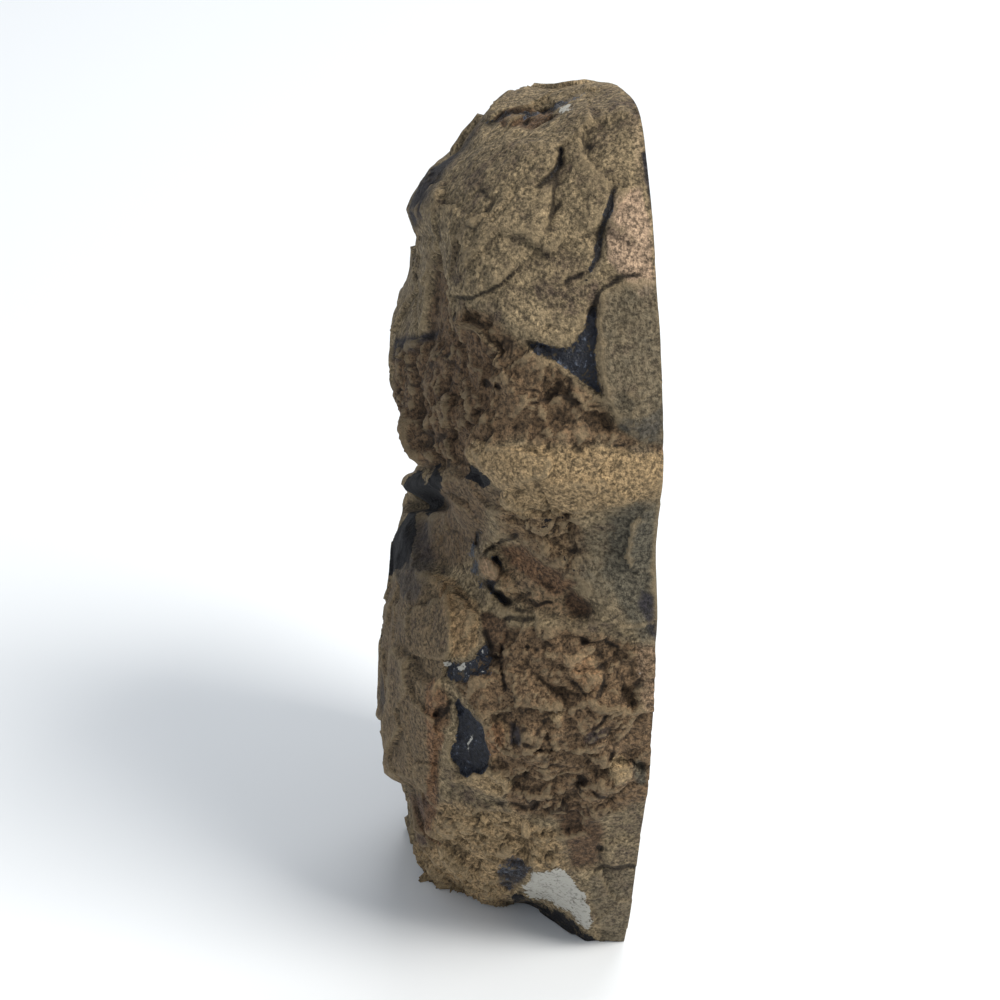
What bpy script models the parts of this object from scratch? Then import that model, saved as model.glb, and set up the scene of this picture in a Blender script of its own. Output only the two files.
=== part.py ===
"""Polished agate: half of a sawn agate nodule, standing on its own small foot.

One solid. Its sawn, polished face looks along +X. The rest is the nodule's natural rind: sandy skin,
broken bands, crumbled ledges, a hollow and glassy pockets. The stone is worked out in millimetres and
written in metres, +Z up, with its origin on the ground below the middle of its box.
"""
import math

import bmesh
import bpy
import numpy as np

MM = 0.001

# Driving dimensions, in millimetres from the design axis; the ground is height 0.
HEIGHT = 100.0
FACE_X = 12.0             # the sawn face
FACE_BULGE = 5.0          # how far the stone runs past the saw cut before it is cut
SECTION_POWER = 2.7       # 2 is an ellipse, more is squarer
FOOT_DEPTH = 6.0          # stone below the ground, cut off to make the foot
TOP_FILLET = 3.5
TOP_DOME = 0.8
TOP_HUB_INSET = 4.0       # from the face to the axis that the top and the foot close on
MIDDLE = (-1.86, 0.84)    # middle of the finished stone's box, from the design axis

# The three sides of the section, as (height, distance from the design axis).
LEFT_SIDE = [(-6, -8.0), (0, -11.0), (6, -12.4), (12, -13.4), (18, -14.3), (24, -14.4), (34, -13.9),
             (40, -13.2), (45.5, -11.2), (49.5, -8.4), (55, -7.9), (60, -10.5), (63.5, -11.6), (69, -11.6),
             (75, -10.2), (82, -9.7), (87, -9.3), (91, -8.0), (95, -5.1), (98, -2.2), (101, 1.0)]
FRONT_SIDE = [(-6, -15), (0, -18.5), (4, -20.3), (15, -23.6), (30, -28.3), (42, -29.7), (50, -29.2),
              (57, -27.6), (62, -28.4), (67, -30.0), (80, -27.3), (90, -22.6), (95, -18.8), (98, -16.2),
              (101, -13.0)]
BACK_SIDE = [(-6, 15), (0, 19.5), (4, 22), (15, 25.5), (30, 28.5), (50, 30.5), (65, 30), (80, 26.5),
             (90, 21), (95, 16.5), (98, 13.5), (101, 10)]

# Flats where the nodule broke: a point on each, the way it faces, and how far its edge rounds off.
FLATS = [
    ((0.0, 29.0, 62.0), (-0.30, 0.90, 0.12), 2.0),
    ((-9.0, 22.0, 30.0), (-0.80, 0.62, -0.10), 2.0),
    ((-6.5, 10.0, 90.0), (-0.55, 0.35, 0.55), 2.0),
]

# The toe: only the front corner by the face reaches forward at the ground.
TOE_RECESS = 9.0
TOE_SPAN = (1.0, 7.6)
TOE_TOP = 16.0
TOE_ROOM = 12.0
TOE_FADE = 1.6

# The top: its ridge rises towards the front of the face.
TOP_RISE_FROM = 84.0
TOP_RIDGE_SPAN = (1.0, 11.0)
TOP_RIDGE_SLOPE = -0.22
TOP_LIFT = (0.5, 0.8)     # away from the face, and along it

# Relief is drawn flat, as seen from three sides: azimuth, elevation, distance, point aimed at, and the
# place of that point in the drawing, whose first number runs right and whose second runs up.
FRONT = (-10.0, 25.0, 280.0, (-0.15, 0.0, 51.7), (14.2, 52.4))
LEFT = (-95.0, 0.0, 600.0, (0.0, 0.0, 50.0), (0.0, 50.0))
BACK = (-160.0, 5.0, 600.0, (0.0, 0.0, 50.0), (0.0, 50.0))

# (drawing, outline, rise, width of its edge): what stands up from the stone or lies sunk in it.
PATCHES = [
    # the broken band across the front, below the upper skin
    (FRONT, [(-3, 70), (5, 72), (9, 74.5), (10.5, 75.5), (14, 74), (17, 70.5), (22, 67.5), (27, 63.5),
             (31, 59), (37, 58), (21, 59), (13, 58.5), (9, 57), (5, 55.5), (1, 58), (-3, 64)], -1.3, 0.9),
    # the wide sandy crust below the band
    (FRONT, [(9.5, 56), (11, 57), (21, 56.5), (37, 56), (37, 35.5), (31, 35.5), (25, 40), (21.5, 42.5),
             (18, 46), (14, 48), (13, 50.5), (14, 53.5)], 1.1, 2.0),
    # the hollow under the crust, and its deep end
    (FRONT, [(13.5, 47), (18, 46), (21.5, 42.5), (25.5, 39), (24.5, 38), (19.5, 38), (15, 40), (13, 42.5),
             (14.5, 44.5)], -1.9, 1.2),
    (FRONT, [(20, 41.5), (24, 40.5), (26, 39), (24, 37.5), (20, 38.5)], -1.0, 1.2),
    # the trough left of the crust
    (FRONT, [(4.5, 56), (7, 55.5), (9, 57), (13, 54.5), (13, 48), (10.5, 45), (6.5, 44.5), (4.5, 48)],
     -1.2, 1.0),
    # the smooth slab down the left
    (FRONT, [(-3, 41), (2.5, 43.5), (6, 44), (8, 42), (8.5, 36), (8, 26), (7.5, 19), (5.5, 17), (3.5, 18.5),
             (-3, 20)], 1.2, 0.8),
    # the glassy pocket beside it, and the lobe below
    (FRONT, [(8.5, 28.5), (10, 28), (12.5, 25), (12.5, 21), (9, 19.5), (8, 22)], -1.0, 0.6),
    (FRONT, [(9, 19.5), (13, 20.5), (15.5, 19), (14, 17), (11, 18)], 0.8, 0.7),
    # the lens-shaped plate at the upper left, and the lobe at the right of it
    (FRONT, [(21.5, 93.5), (20.5, 87), (18.5, 82), (14.5, 78), (10, 76.5), (6.5, 77), (3, 84), (9, 93),
             (15, 95.5)], 0.7, 0.8),
    (FRONT, [(26, 77), (29, 79), (37, 78), (37, 59.5), (31, 59.5), (27, 64), (25.5, 70)], 0.6, 0.8),
    # the wedge and the two streaks of blue-black chalcedony
    (FRONT, [(17, 71), (22, 70.5), (25, 74.5), (26, 73), (26, 65), (22, 68)], -0.7, 0.7),
    (FRONT, [(27.5, 89), (28.5, 87), (26.5, 79.5), (25, 74.5), (24, 75), (25.5, 82)], -0.6, 0.6),
    # the shelf above the crack at the top
    (FRONT, [(12.5, 97), (17, 98), (24, 100), (27, 100), (31, 97), (34, 104), (10, 106), (4, 95), (8, 92)],
     -0.7, 0.8),
    # two chips that stand out at the left edge of the waist
    (LEFT, [(-8, 49.5), (8, 49.5), (10, 44), (6, 41), (-6, 41), (-10, 45)], 1.2, 0.8),
    (LEFT, [(-5, 54), (1, 54.5), (4, 52.5), (1, 50.5), (-4, 51)], 1.4, 0.7),
    # broken slabs and a hollow on the back
    (BACK, [(-22, 88), (-4, 93), (6, 80), (2, 66), (-14, 62), (-24, 70)], 1.2, 1.2),
    (BACK, [(4, 60), (22, 66), (26, 48), (14, 38), (2, 44)], -1.6, 1.4),
    (BACK, [(-24, 52), (-8, 56), (0, 42), (-6, 24), (-22, 22)], 1.3, 1.2),
    (BACK, [(4, 30), (18, 30), (20, 12), (6, 8)], -1.1, 1.2),
    # a ledge and a hollow on the left side
    (LEFT, [(6, 84), (22, 80), (24, 64), (8, 62), (0, 72)], -1.3, 1.2),
    (LEFT, [(8, 36), (20, 38), (22, 18), (10, 12), (4, 22)], 1.1, 1.0),
]
FACING_FADE = (0.05, 0.45)   # a drawing's relief fades where the stone turns away from it

# The left edge's ledges and notches: (height in the front drawing, how far the edge is set in).
EDGE = [(101, 0.3), (97, 0.3), (93.8, 0.7), (90, -0.1), (86.7, -0.6), (83, 0.6), (79, 0.55), (75.5, 0.15),
        (66, -0.25), (62.5, 0.3), (59, 0.2), (56.5, 0.8), (54.2, -0.2), (51.8, 2.0), (49.8, 1.3), (47, 0.95),
        (42.5, 0.95), (39, 0.0), (26, -0.05), (21, -0.4), (17.6, 2.0), (15.5, 2.2), (12.5, 1.1), (9.8, 0.7),
        (7, 2.2), (-5, 2.4)]
EDGE_FACING = ((-0.4, -0.08), (0.22, 0.5))   # it fades in and out as the stone turns from side-on

# Lumps and flakes all over: (size, height, seed).
LUMPS = [(26.0, 0.9, 3), (11.0, 0.45, 4)]
FLAKES = [(7.0, 0.45, 0.12, 11)]   # and how steeply a flake tilts

COLUMNS = 88
ROWS = 64
COLUMN_WEIGHTS = (1.0, 0.75, 0.55, 0.12)   # front, left, back, face: how closely columns stand
CAP_SHARES = (0.03, 0.93)                  # the rows' shares where the foot and the top close

RIND_COLOR = (0.27, 0.18, 0.10, 1.0)
RIND_ROUGHNESS = 0.8


def smooth(low, high, value):
    """0 below low and 1 above high, with a smooth step between them."""
    t = np.clip((value - low) / (high - low), 0.0, 1.0)
    return t * t * (3.0 - 2.0 * t)


def profile(height, knots):
    """Smooth curve through the knots that never overshoots them."""
    z, v = np.array(knots, float).T
    step, slope = np.diff(z), np.diff(v) / np.diff(z)
    before, after = slope[:-1], slope[1:]
    total = np.where(before + after == 0.0, 1.0, before + after)
    inner = np.where(before * after > 0.0, 2.0 * before * after / total, 0.0)
    tangent = np.concatenate([slope[:1], inner, slope[-1:]])
    i = np.clip(np.searchsorted(z, height) - 1, 0, len(z) - 2)
    t = np.clip((height - z[i]) / step[i], 0.0, 1.0)
    ends = v[i] * (1 + 2 * t) * (1 - t)**2 + v[i + 1] * t * t * (3 - 2 * t)
    return ends + step[i] * (tangent[i] * t * (1 - t)**2 - tangent[i + 1] * t * t * (1 - t))


def section(angle, height, inset):
    """Half a superellipse on the face's plane, with a shallow one beyond it for the saw to cut off."""
    left, front, back = (profile(height, side) for side in (LEFT_SIDE, FRONT_SIDE, BACK_SIDE))
    c, s = (np.sign(w) * np.abs(w)**(2.0 / SECTION_POWER) for w in (np.cos(angle), np.sin(angle)))
    middle, half = (front + back) / 2, (back - front) / 2
    x = FACE_X + np.where(c < 0.0, c * (FACE_X - left - inset), c * FACE_BULGE)
    return x, middle + s * (half - inset), middle


def column_angles(share):
    """Angles round the section for shares of the way round, with columns closest on the front."""
    angle = np.linspace(-math.pi, math.pi, 4001)
    x, y, _ = section(angle, np.full(angle.shape, HEIGHT / 2), 0.0)
    between = (angle[1:] + angle[:-1]) / 2
    front, left, back, face = COLUMN_WEIGHTS
    weight = np.where(np.abs(between) < math.pi / 2, face, np.where(between < 0.0, front, back))
    weight = np.where(np.abs(between) > 2.75, left, weight)
    way = np.concatenate([[0.0], np.cumsum(np.hypot(np.diff(x), np.diff(y)) * weight)])
    return np.interp(share * way[-1], way, angle)


def meridian(share):
    """Height, inset and shrink from the foot (share 0), up the side and round the top fillet to the top."""
    low, high = CAP_SHARES
    straight = HEIGHT - TOP_FILLET + FOOT_DEPTH
    way = np.clip((share - low) / (high - low), 0.0, 1.0) * (straight + TOP_FILLET * math.pi / 2)
    turn = np.clip((way - straight) / TOP_FILLET, 0.0, math.pi / 2)
    shrink = np.clip(np.minimum(share / low, (1.0 - share) / (1.0 - high)), 0.0, 1.0)
    dome = np.where(share > high, TOP_DOME * (1.0 - shrink**2), 0.0)
    height = np.minimum(way, straight) - FOOT_DEPTH + TOP_FILLET * np.sin(turn) + dome
    return height, TOP_FILLET * (1.0 - np.cos(turn)), shrink


def stone_form(around, along):
    """The stone's smooth form: the section carried up the meridian, with its toe, ridge and flats."""
    z, inset, shrink = meridian(along)
    x, y, middle = section(column_angles(around), z, inset)
    hub = FACE_X - TOP_HUB_INSET
    x, y = hub + shrink * (x - hub), middle + shrink * (y - middle)
    fade = (1.0 - np.clip(z / TOE_TOP, 0.0, 1.0))**TOE_FADE
    room = np.clip((middle - y) / TOE_ROOM, 0.0, 1.0)
    y = y + TOE_RECESS * smooth(-TOE_SPAN[1], -TOE_SPAN[0], -x) * fade * room
    ridge = smooth(*TOP_RIDGE_SPAN, x)
    lift = ridge * (TOP_RIDGE_SLOPE * y + TOP_LIFT[1]) + (1.0 - ridge) * TOP_LIFT[0]
    points = np.stack([x, y, z + smooth(TOP_RISE_FROM, HEIGHT, z) * lift], axis=-1)
    for point, facing, edge in FLATS:
        normal = np.array(facing) / np.linalg.norm(facing)
        past = (points - point) @ normal
        rounded = np.where(past > edge, past, np.where(past < -edge, 0.0, (past + edge)**2 / (4 * edge)))
        points = points - rounded[:, None] * normal
    return points


def view_axes(drawing):
    """Right, up and towards-the-viewer directions of a drawing."""
    azimuth, elevation = np.radians(drawing[:2])
    across, level = np.sin(azimuth), np.cos(azimuth)
    toward = np.array([across * np.cos(elevation), -level * np.cos(elevation), np.sin(elevation)])
    right = np.array([level, across, 0.0])
    return right, np.cross(toward, right), toward


def draw(points, drawing):
    """Places of points in a drawing, and the unit way from each to the viewer."""
    right, up, toward = view_axes(drawing)
    distance, aim, place = drawing[2:]
    viewer = np.array(aim) + distance * toward
    away = points - viewer
    scale = distance / -(away @ toward)
    sight = -away / np.linalg.norm(away, axis=1, keepdims=True)
    return place[0] + scale * (away @ right), place[1] + scale * (away @ up), sight


def outline_distance(u, v, outline):
    """Distance from a closed outline in a drawing, below 0 inside it."""
    start = np.array(outline, float)
    run = np.roll(start, -1, axis=0) - start
    du, dv = u[:, None] - start[:, 0], v[:, None] - start[:, 1]
    t = np.clip((du * run[:, 0] + dv * run[:, 1]) / (run**2).sum(axis=1), 0.0, 1.0)
    gap = np.hypot(du - t * run[:, 0], dv - t * run[:, 1]).min(axis=1)
    end = start + run
    spans = (start[:, 1] > v[:, None]) != (end[:, 1] > v[:, None])
    crossing = start[:, 0] + dv * run[:, 0] / np.where(run[:, 1] == 0.0, 1.0, run[:, 1])
    inside = (spans & (u[:, None] < crossing)).sum(axis=1) % 2 == 1
    return np.where(inside, -gap, gap)


def scatter(cell, seed):
    """A fixed pseudo-random number from -1 to 1 for each whole-number cell."""
    x, y, z = (cell[..., k].astype(np.int64) for k in range(3))
    mixed = (x * 73856093) ^ (y * 19349663) ^ (z * 83492791) ^ (seed * 2654435761)
    mixed = ((mixed & 0xFFFFFFFF) * 1664525 + 1013904223) & 0xFFFFFFFF
    mixed = ((mixed ^ (mixed >> 15)) * 2246822519) & 0xFFFFFFFF
    mixed = ((mixed ^ (mixed >> 13)) * 3266489917) & 0xFFFFFFFF
    return ((mixed ^ (mixed >> 16)) & 0xFFFFFF) / 0x7FFFFF - 1.0


def lumps(points, size, seed):
    """Smooth noise from -1 to 1: numbers on a lattice of the given size, blended between its corners."""
    place = points / size
    cell = np.floor(place)
    t = place - cell
    t = t * t * (3.0 - 2.0 * t)
    total = np.zeros(len(points))
    for corner in np.ndindex(2, 2, 2):
        weight = np.prod(np.where(corner, t, 1.0 - t), axis=1)
        total += weight * scatter(cell + corner, seed)
    return total


def flakes(points, size, tilt, seed):
    """Broken facets: each cell of scattered seeds is a small plane with its own height and tilt."""
    place = points / size
    cell = np.floor(place)
    best = np.full(len(points), np.inf)
    height = np.zeros(len(points))
    for step in np.ndindex(3, 3, 3):
        near = cell + np.array(step) - 1
        spread = np.stack([scatter(near, seed + k) for k in range(3)], axis=-1)
        offset = place - (near + 0.5 + 0.4 * spread)
        gap = (offset**2).sum(axis=1)
        lean = np.stack([scatter(near, seed + 3 + k) for k in range(3)], axis=-1)
        level = scatter(near, seed + 6) + (offset * lean).sum(axis=1) * tilt * size
        height = np.where(gap < best, level, height)
        best = np.minimum(gap, best)
    return height


def edge_inset(points, normals):
    """The left edge's ledges: stone turned side-on to the front drawing moves level with the drawing."""
    right = view_axes(FRONT)[0]
    _, v, sight = draw(points, FRONT)
    facing = (normals * sight).sum(axis=1)
    side = smooth(*EDGE_FACING[0], facing) * (1.0 - smooth(*EDGE_FACING[1], facing))
    side = side * smooth(0.1, 0.5, -(normals @ right))
    height, inset = np.array(EDGE, float)[::-1].T
    return (side * np.interp(v, height, inset))[:, None] * right


def relief(points, normals):
    """How far each point of the smooth form moves: drawn patches towards their viewer, the rest outwards."""
    move = edge_inset(points, normals)
    for drawing, outline, rise, edge in PATCHES:
        u, v, sight = draw(points, drawing)
        facing = smooth(*FACING_FADE, (normals * sight).sum(axis=1))
        inside = smooth(-edge, edge, -outline_distance(u, v, outline))
        move += (rise * inside * facing)[:, None] * sight
    swell = sum(height * lumps(points, size, seed) for size, height, seed in LUMPS)
    swell = swell + sum(height * flakes(points, size, tilt, seed) for size, height, tilt, seed in FLAKES)
    return move + swell[:, None] * normals


def stone_ball(bm):
    """A UV sphere whose longitudes and latitudes are carried to the stone's form, then given its relief."""
    bmesh.ops.create_uvsphere(bm, u_segments=COLUMNS, v_segments=ROWS, radius=1.0)
    ball = np.array([v.co for v in bm.verts])
    around = (np.arctan2(ball[:, 1], ball[:, 0]) / (2 * math.pi)) % 1.0
    along = np.arcsin(np.clip(ball[:, 2], -1.0, 1.0)) / math.pi + 0.5
    place(bm, stone_form(around, along))
    bm.normal_update()
    points = np.array([v.co for v in bm.verts])
    normals = np.array([v.normal for v in bm.verts])
    place(bm, points + relief(points, normals))


def place(bm, points):
    """Move every vertex to its point."""
    for vertex, point in zip(bm.verts, points):
        vertex.co = point


def saw(bm, point, facing):
    """Cut off what lies past a plane, and close the cut with one flat face."""
    geometry = bm.verts[:] + bm.edges[:] + bm.faces[:]
    cut = bmesh.ops.bisect_plane(bm, geom=geometry, dist=1e-4, plane_co=point, plane_no=facing,
                                 clear_outer=True)
    edges = [item for item in cut["geom_cut"] if isinstance(item, bmesh.types.BMEdge)]
    bmesh.ops.edgeloop_fill(bm, edges=edges)


def rind_material():
    """Weathered chalcedony rind with iron stain."""
    material = bpy.data.materials.new("agate_rind")
    material.use_nodes = True
    shader = material.node_tree.nodes["Principled BSDF"]
    shader.inputs["Base Color"].default_value = RIND_COLOR
    shader.inputs["Roughness"].default_value = RIND_ROUGHNESS
    shader.inputs["Metallic"].default_value = 0.0
    return material


def build_agate(collection):
    """The whole stone: the carried ball, sawn flat at its face and at its foot."""
    bm = bmesh.new()
    stone_ball(bm)
    saw(bm, (FACE_X, 0.0, 0.0), (1.0, 0.0, 0.0))
    saw(bm, (0.0, 0.0, 0.0), (0.0, 0.0, -1.0))
    bmesh.ops.triangulate(bm, faces=[face for face in bm.faces if len(face.verts) > 4])
    bmesh.ops.translate(bm, verts=bm.verts, vec=(-MIDDLE[0], -MIDDLE[1], 0.0))
    bmesh.ops.scale(bm, verts=bm.verts, vec=(MM, MM, MM))
    bmesh.ops.recalc_face_normals(bm, faces=bm.faces)
    mesh = bpy.data.meshes.new("agate")
    bm.to_mesh(mesh)
    bm.free()
    mesh.materials.append(rind_material())
    agate = bpy.data.objects.new("agate", mesh)
    collection.objects.link(agate)
    return agate


def main():
    for thing in list(bpy.data.objects):
        bpy.data.objects.remove(thing, do_unlink=True)
    collection = bpy.data.collections.new("polished_agate")
    bpy.context.scene.collection.children.link(collection)
    build_agate(collection)


main()
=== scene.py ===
"""Polished agate: the looks of half a sawn agate nodule standing on its foot, as a Blender add-on.

The stone is one surface of two parameters, worked out in millimetres from the same form as the
solid model and written in metres. Its rind is drawn with relief and finishes, and its sawn face is
polished banded agate.
"""

import math

import bpy
import numpy as np
from mathutils import Matrix, Vector


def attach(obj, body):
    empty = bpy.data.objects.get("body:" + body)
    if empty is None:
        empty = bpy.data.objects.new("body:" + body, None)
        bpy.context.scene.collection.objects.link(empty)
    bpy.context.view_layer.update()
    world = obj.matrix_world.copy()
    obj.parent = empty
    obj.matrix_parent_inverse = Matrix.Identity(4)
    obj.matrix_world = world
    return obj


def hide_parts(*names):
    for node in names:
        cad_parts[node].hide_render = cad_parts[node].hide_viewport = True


bl_info = {
    "name": "Polished Agate",
    "version": (1, 0, 0),
    "blender": (4, 5, 0),
    "location": "3D View > Sidebar > Agate",
    "description": "Half of a sawn agate nodule with a rough rind and a polished face",
    "category": "Add Mesh",
}

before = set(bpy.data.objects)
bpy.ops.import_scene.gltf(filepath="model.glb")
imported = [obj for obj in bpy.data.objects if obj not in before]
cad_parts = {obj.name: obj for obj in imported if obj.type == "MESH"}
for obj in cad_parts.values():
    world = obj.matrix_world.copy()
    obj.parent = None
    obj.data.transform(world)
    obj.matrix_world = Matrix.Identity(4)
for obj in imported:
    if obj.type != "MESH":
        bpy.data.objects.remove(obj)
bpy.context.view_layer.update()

MM = 0.001

# The stone's form, in millimetres from the design axis; the ground is height 0.
HEIGHT = 100.0
FACE_X = 12.0                 # the plane of the sawn face
FACE_BULGE = 5.0              # how far the section goes on past it, before it is flattened
SECTION_POWER = 2.7
FOOT_DEPTH = 6.0              # how far the form goes on below the ground
TOP_FILLET = 3.5
TOP_DOME = 0.8
TOP_HUB_INSET = 4.0           # the foot and the top close this far behind the face
MIDDLE = (-1.86, 0.84, 0.0)   # the frame's origin

# The form's sides by height: how far left it reaches, and where its front and its back are.
LEFT_SIDE = [(-6, -8), (0, -11), (6, -12.4), (12, -13.4), (18, -14.3), (24, -14.4), (34, -13.9),
             (40, -13.2), (45.5, -11.2), (49.5, -8.4), (55, -7.9), (60, -10.5), (63.5, -11.6),
             (69, -11.6), (75, -10.2), (82, -9.7), (87, -9.3), (91, -8), (95, -5.1), (98, -2.2),
             (101, 1)]
FRONT_SIDE = [(-6, -15), (0, -18.5), (4, -20.3), (15, -23.6), (30, -28.3), (42, -29.7), (50, -29.2),
              (57, -27.6), (62, -28.4), (67, -30), (80, -27.3), (90, -22.6), (95, -18.8),
              (98, -16.2), (101, -13)]
BACK_SIDE = [(-6, 15), (0, 19.5), (4, 22), (15, 25.5), (30, 28.5), (50, 30.5), (65, 30), (80, 26.5),
             (90, 21), (95, 16.5), (98, 13.5), (101, 10)]

# Flats cut on the form: (point on the flat, its facing, width of its rounded edge).
FLATS = [
    ((0.0, 29.0, 62.0), (-0.30, 0.90, 0.12), 2.0),
    ((-9.0, 22.0, 30.0), (-0.80, 0.62, -0.10), 2.0),
    ((-6.5, 10.0, 90.0), (-0.55, 0.35, 0.55), 2.0),
]

TOE_RECESS = 9.0               # how far the toe is set back at the ground
TOE_SPAN = (1.0, 7.6)          # it is whole up to the first x and gone from the second
TOE_TOP = 16.0                 # height where it is gone
TOE_FADE = 1.6                 # power that it fades with on the way up
TOE_ROOM = 12.0                # it fades over this depth towards the middle
TOP_RISE_FROM = 84.0
TOP_RIDGE_SPAN = (1.0, 11.0)   # the ridge comes in between these x
TOP_RIDGE_SLOPE = -0.22        # and falls towards the back
TOP_LIFT = (0.5, 0.8)          # beside the ridge and on it

COLUMN_WEIGHTS = (1.0, 0.50, 0.28, 0.07)   # how close they lie on the front, left, back and face
LEFT_COLUMNS_FROM = 2.75    # angle from which a column counts as left
ANGLE_SAMPLES = 4001
CAP_SHARES = (0.03, 0.93)   # shares of the rows where the foot ends and the top starts
FACE_REACH = 0.3            # points this near the sawn plane are in its pattern
FACE_SLACK = 0.02           # and points this near are polished
OUTLINE_STEP = 3            # rows from one point of the face's outline to the next

# Relief and finishes are drawn flat, as seen from three sides: azimuth, elevation, distance, point
# aimed at and the place of that point in the drawing, whose first number runs right and whose
# second runs up.
FRONT = (-10.0, 25.0, 280.0, (-0.15, 0.0, 51.7), (14.2, 52.4))
LEFT = (-95.0, 0.0, 600.0, (0.0, 0.0, 50.0), (0.0, 50.0))
BACK = (-160.0, 5.0, 600.0, (0.0, 0.0, 50.0), (0.0, 50.0))
FACING_FADE = (0.05, 0.45)     # a drawing's relief fades where the stone turns away from it
MARK_FADE = (-0.05, 0.08)      # and so do its finishes
HIDDEN_FADE = (-0.35, -0.05)   # the back drawing is used only where the front one can't see
WILD_FADE = (-0.6, -0.2)       # and the wild finishes further round still

# The left edge's ledges and notches: (height in the front drawing, how far the edge is set in).
EDGE = [(101, 0.3), (99.5, 0.15), (98, 0.3), (96, 0.5), (94.5, 0.8), (93.8, 0.95), (93, 0.5),
        (91.7, -0.1), (89.5, -0.25), (88, -0.5), (86.7, -0.75), (86, -0.4), (85.3, -0.1), (84, 0.4),
        (83.5, 0.8), (82.4, 0.6), (81, 0.8), (79, 0.55), (77, 0.5), (75.5, 0.15), (74, -0.1),
        (66, -0.25), (64.5, 0.05), (62.5, 0.4), (61.8, 0), (59.5, 0.25), (57.6, 0.15), (56.9, 0.7),
        (56.3, 1.2), (55.8, 0.6), (55.4, -0.2), (54.6, -0.9), (54, -0.8), (53.5, 0), (52.7, 2),
        (51.6, 4.2), (51.2, 3.8), (50.9, 1.6), (49.8, 1.3), (48.4, 0.95), (44, 1.05), (42, 0.95),
        (40.6, 0.45), (39.9, 0), (26, -0.05), (22.4, -0.1), (21.2, -0.45), (20, -0.4), (19.6, 0.1),
        (19.2, 0.6), (18.7, 1.6), (18.1, 2.1), (16, 2.25), (14.5, 1.8), (12.9, 1.2), (11.5, 0.7),
        (9.8, 0.6), (9, 0.9), (8.3, 1.6), (7.6, 2.4), (5, 2.4), (-5, 2.4)]
EDGE_FACING = ((-0.4, -0.08), (0.22, 0.5))   # it fades in and out as the stone turns from side-on
EDGE_LEFTWARD = (0.1, 0.5)                   # it comes in as the stone turns to the left
EDGE_REACH = (1.5, 7.5)                      # and it fades with the distance from the edge
EDGE_ROW = 1.0                               # the edge is looked for in rows this high

# Rind finishes, a number for each point. The last four also steer relief, dirt and painted shade.
FINISHES = ("tan", "umber_and_painted_shade", "ochre", "pink", "olive", "plum", "jet_and_painted_shadow", "quartz", "chalcedony",
            "crumb", "grain", "calm", "crack")
STAINS = ("crumb", "tan", "umber_and_painted_shade", "ochre", "pink", "olive", "plum")

# Finishes of the hidden sides: name, size of its areas, level it starts at, strength, seed.
WILD_FINISHES = [
    ("crumb", 17.0, 0.05, 0.9, 61), ("umber_and_painted_shade", 13.0, 0.15, 0.6, 62), ("tan", 11.0, 0.30, 0.6, 63),
    ("olive", 12.0, 0.35, 0.6, 64), ("ochre", 9.0, 0.40, 0.5, 65), ("plum", 9.0, 0.50, 0.6, 66),
]
WILD_EDGE = (-0.1, 0.35)        # an area comes in between these, counted from its level
WILD_DETAIL = (0.35, 3.1, 10)   # strength, fineness and seed step of the noise that frays it

# Upper and left edges of the broken band, which two patches share.
BAND_TOP = [(-3, 69.9), (2.4, 70.7), (5.3, 71.8), (7.7, 73), (9, 74.5), (10.6, 75.3), (13.6, 74.2),
            (15.4, 72.4), (17.2, 70.7), (18.9, 69.3), (22, 67.8), (24.8, 65.4), (26.7, 63.6),
            (29, 60.7)]
BAND_LEFT = [(7.1, 55.7), (4.7, 55.5), (2.1, 59.5), (-3, 64.2)]

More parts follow.
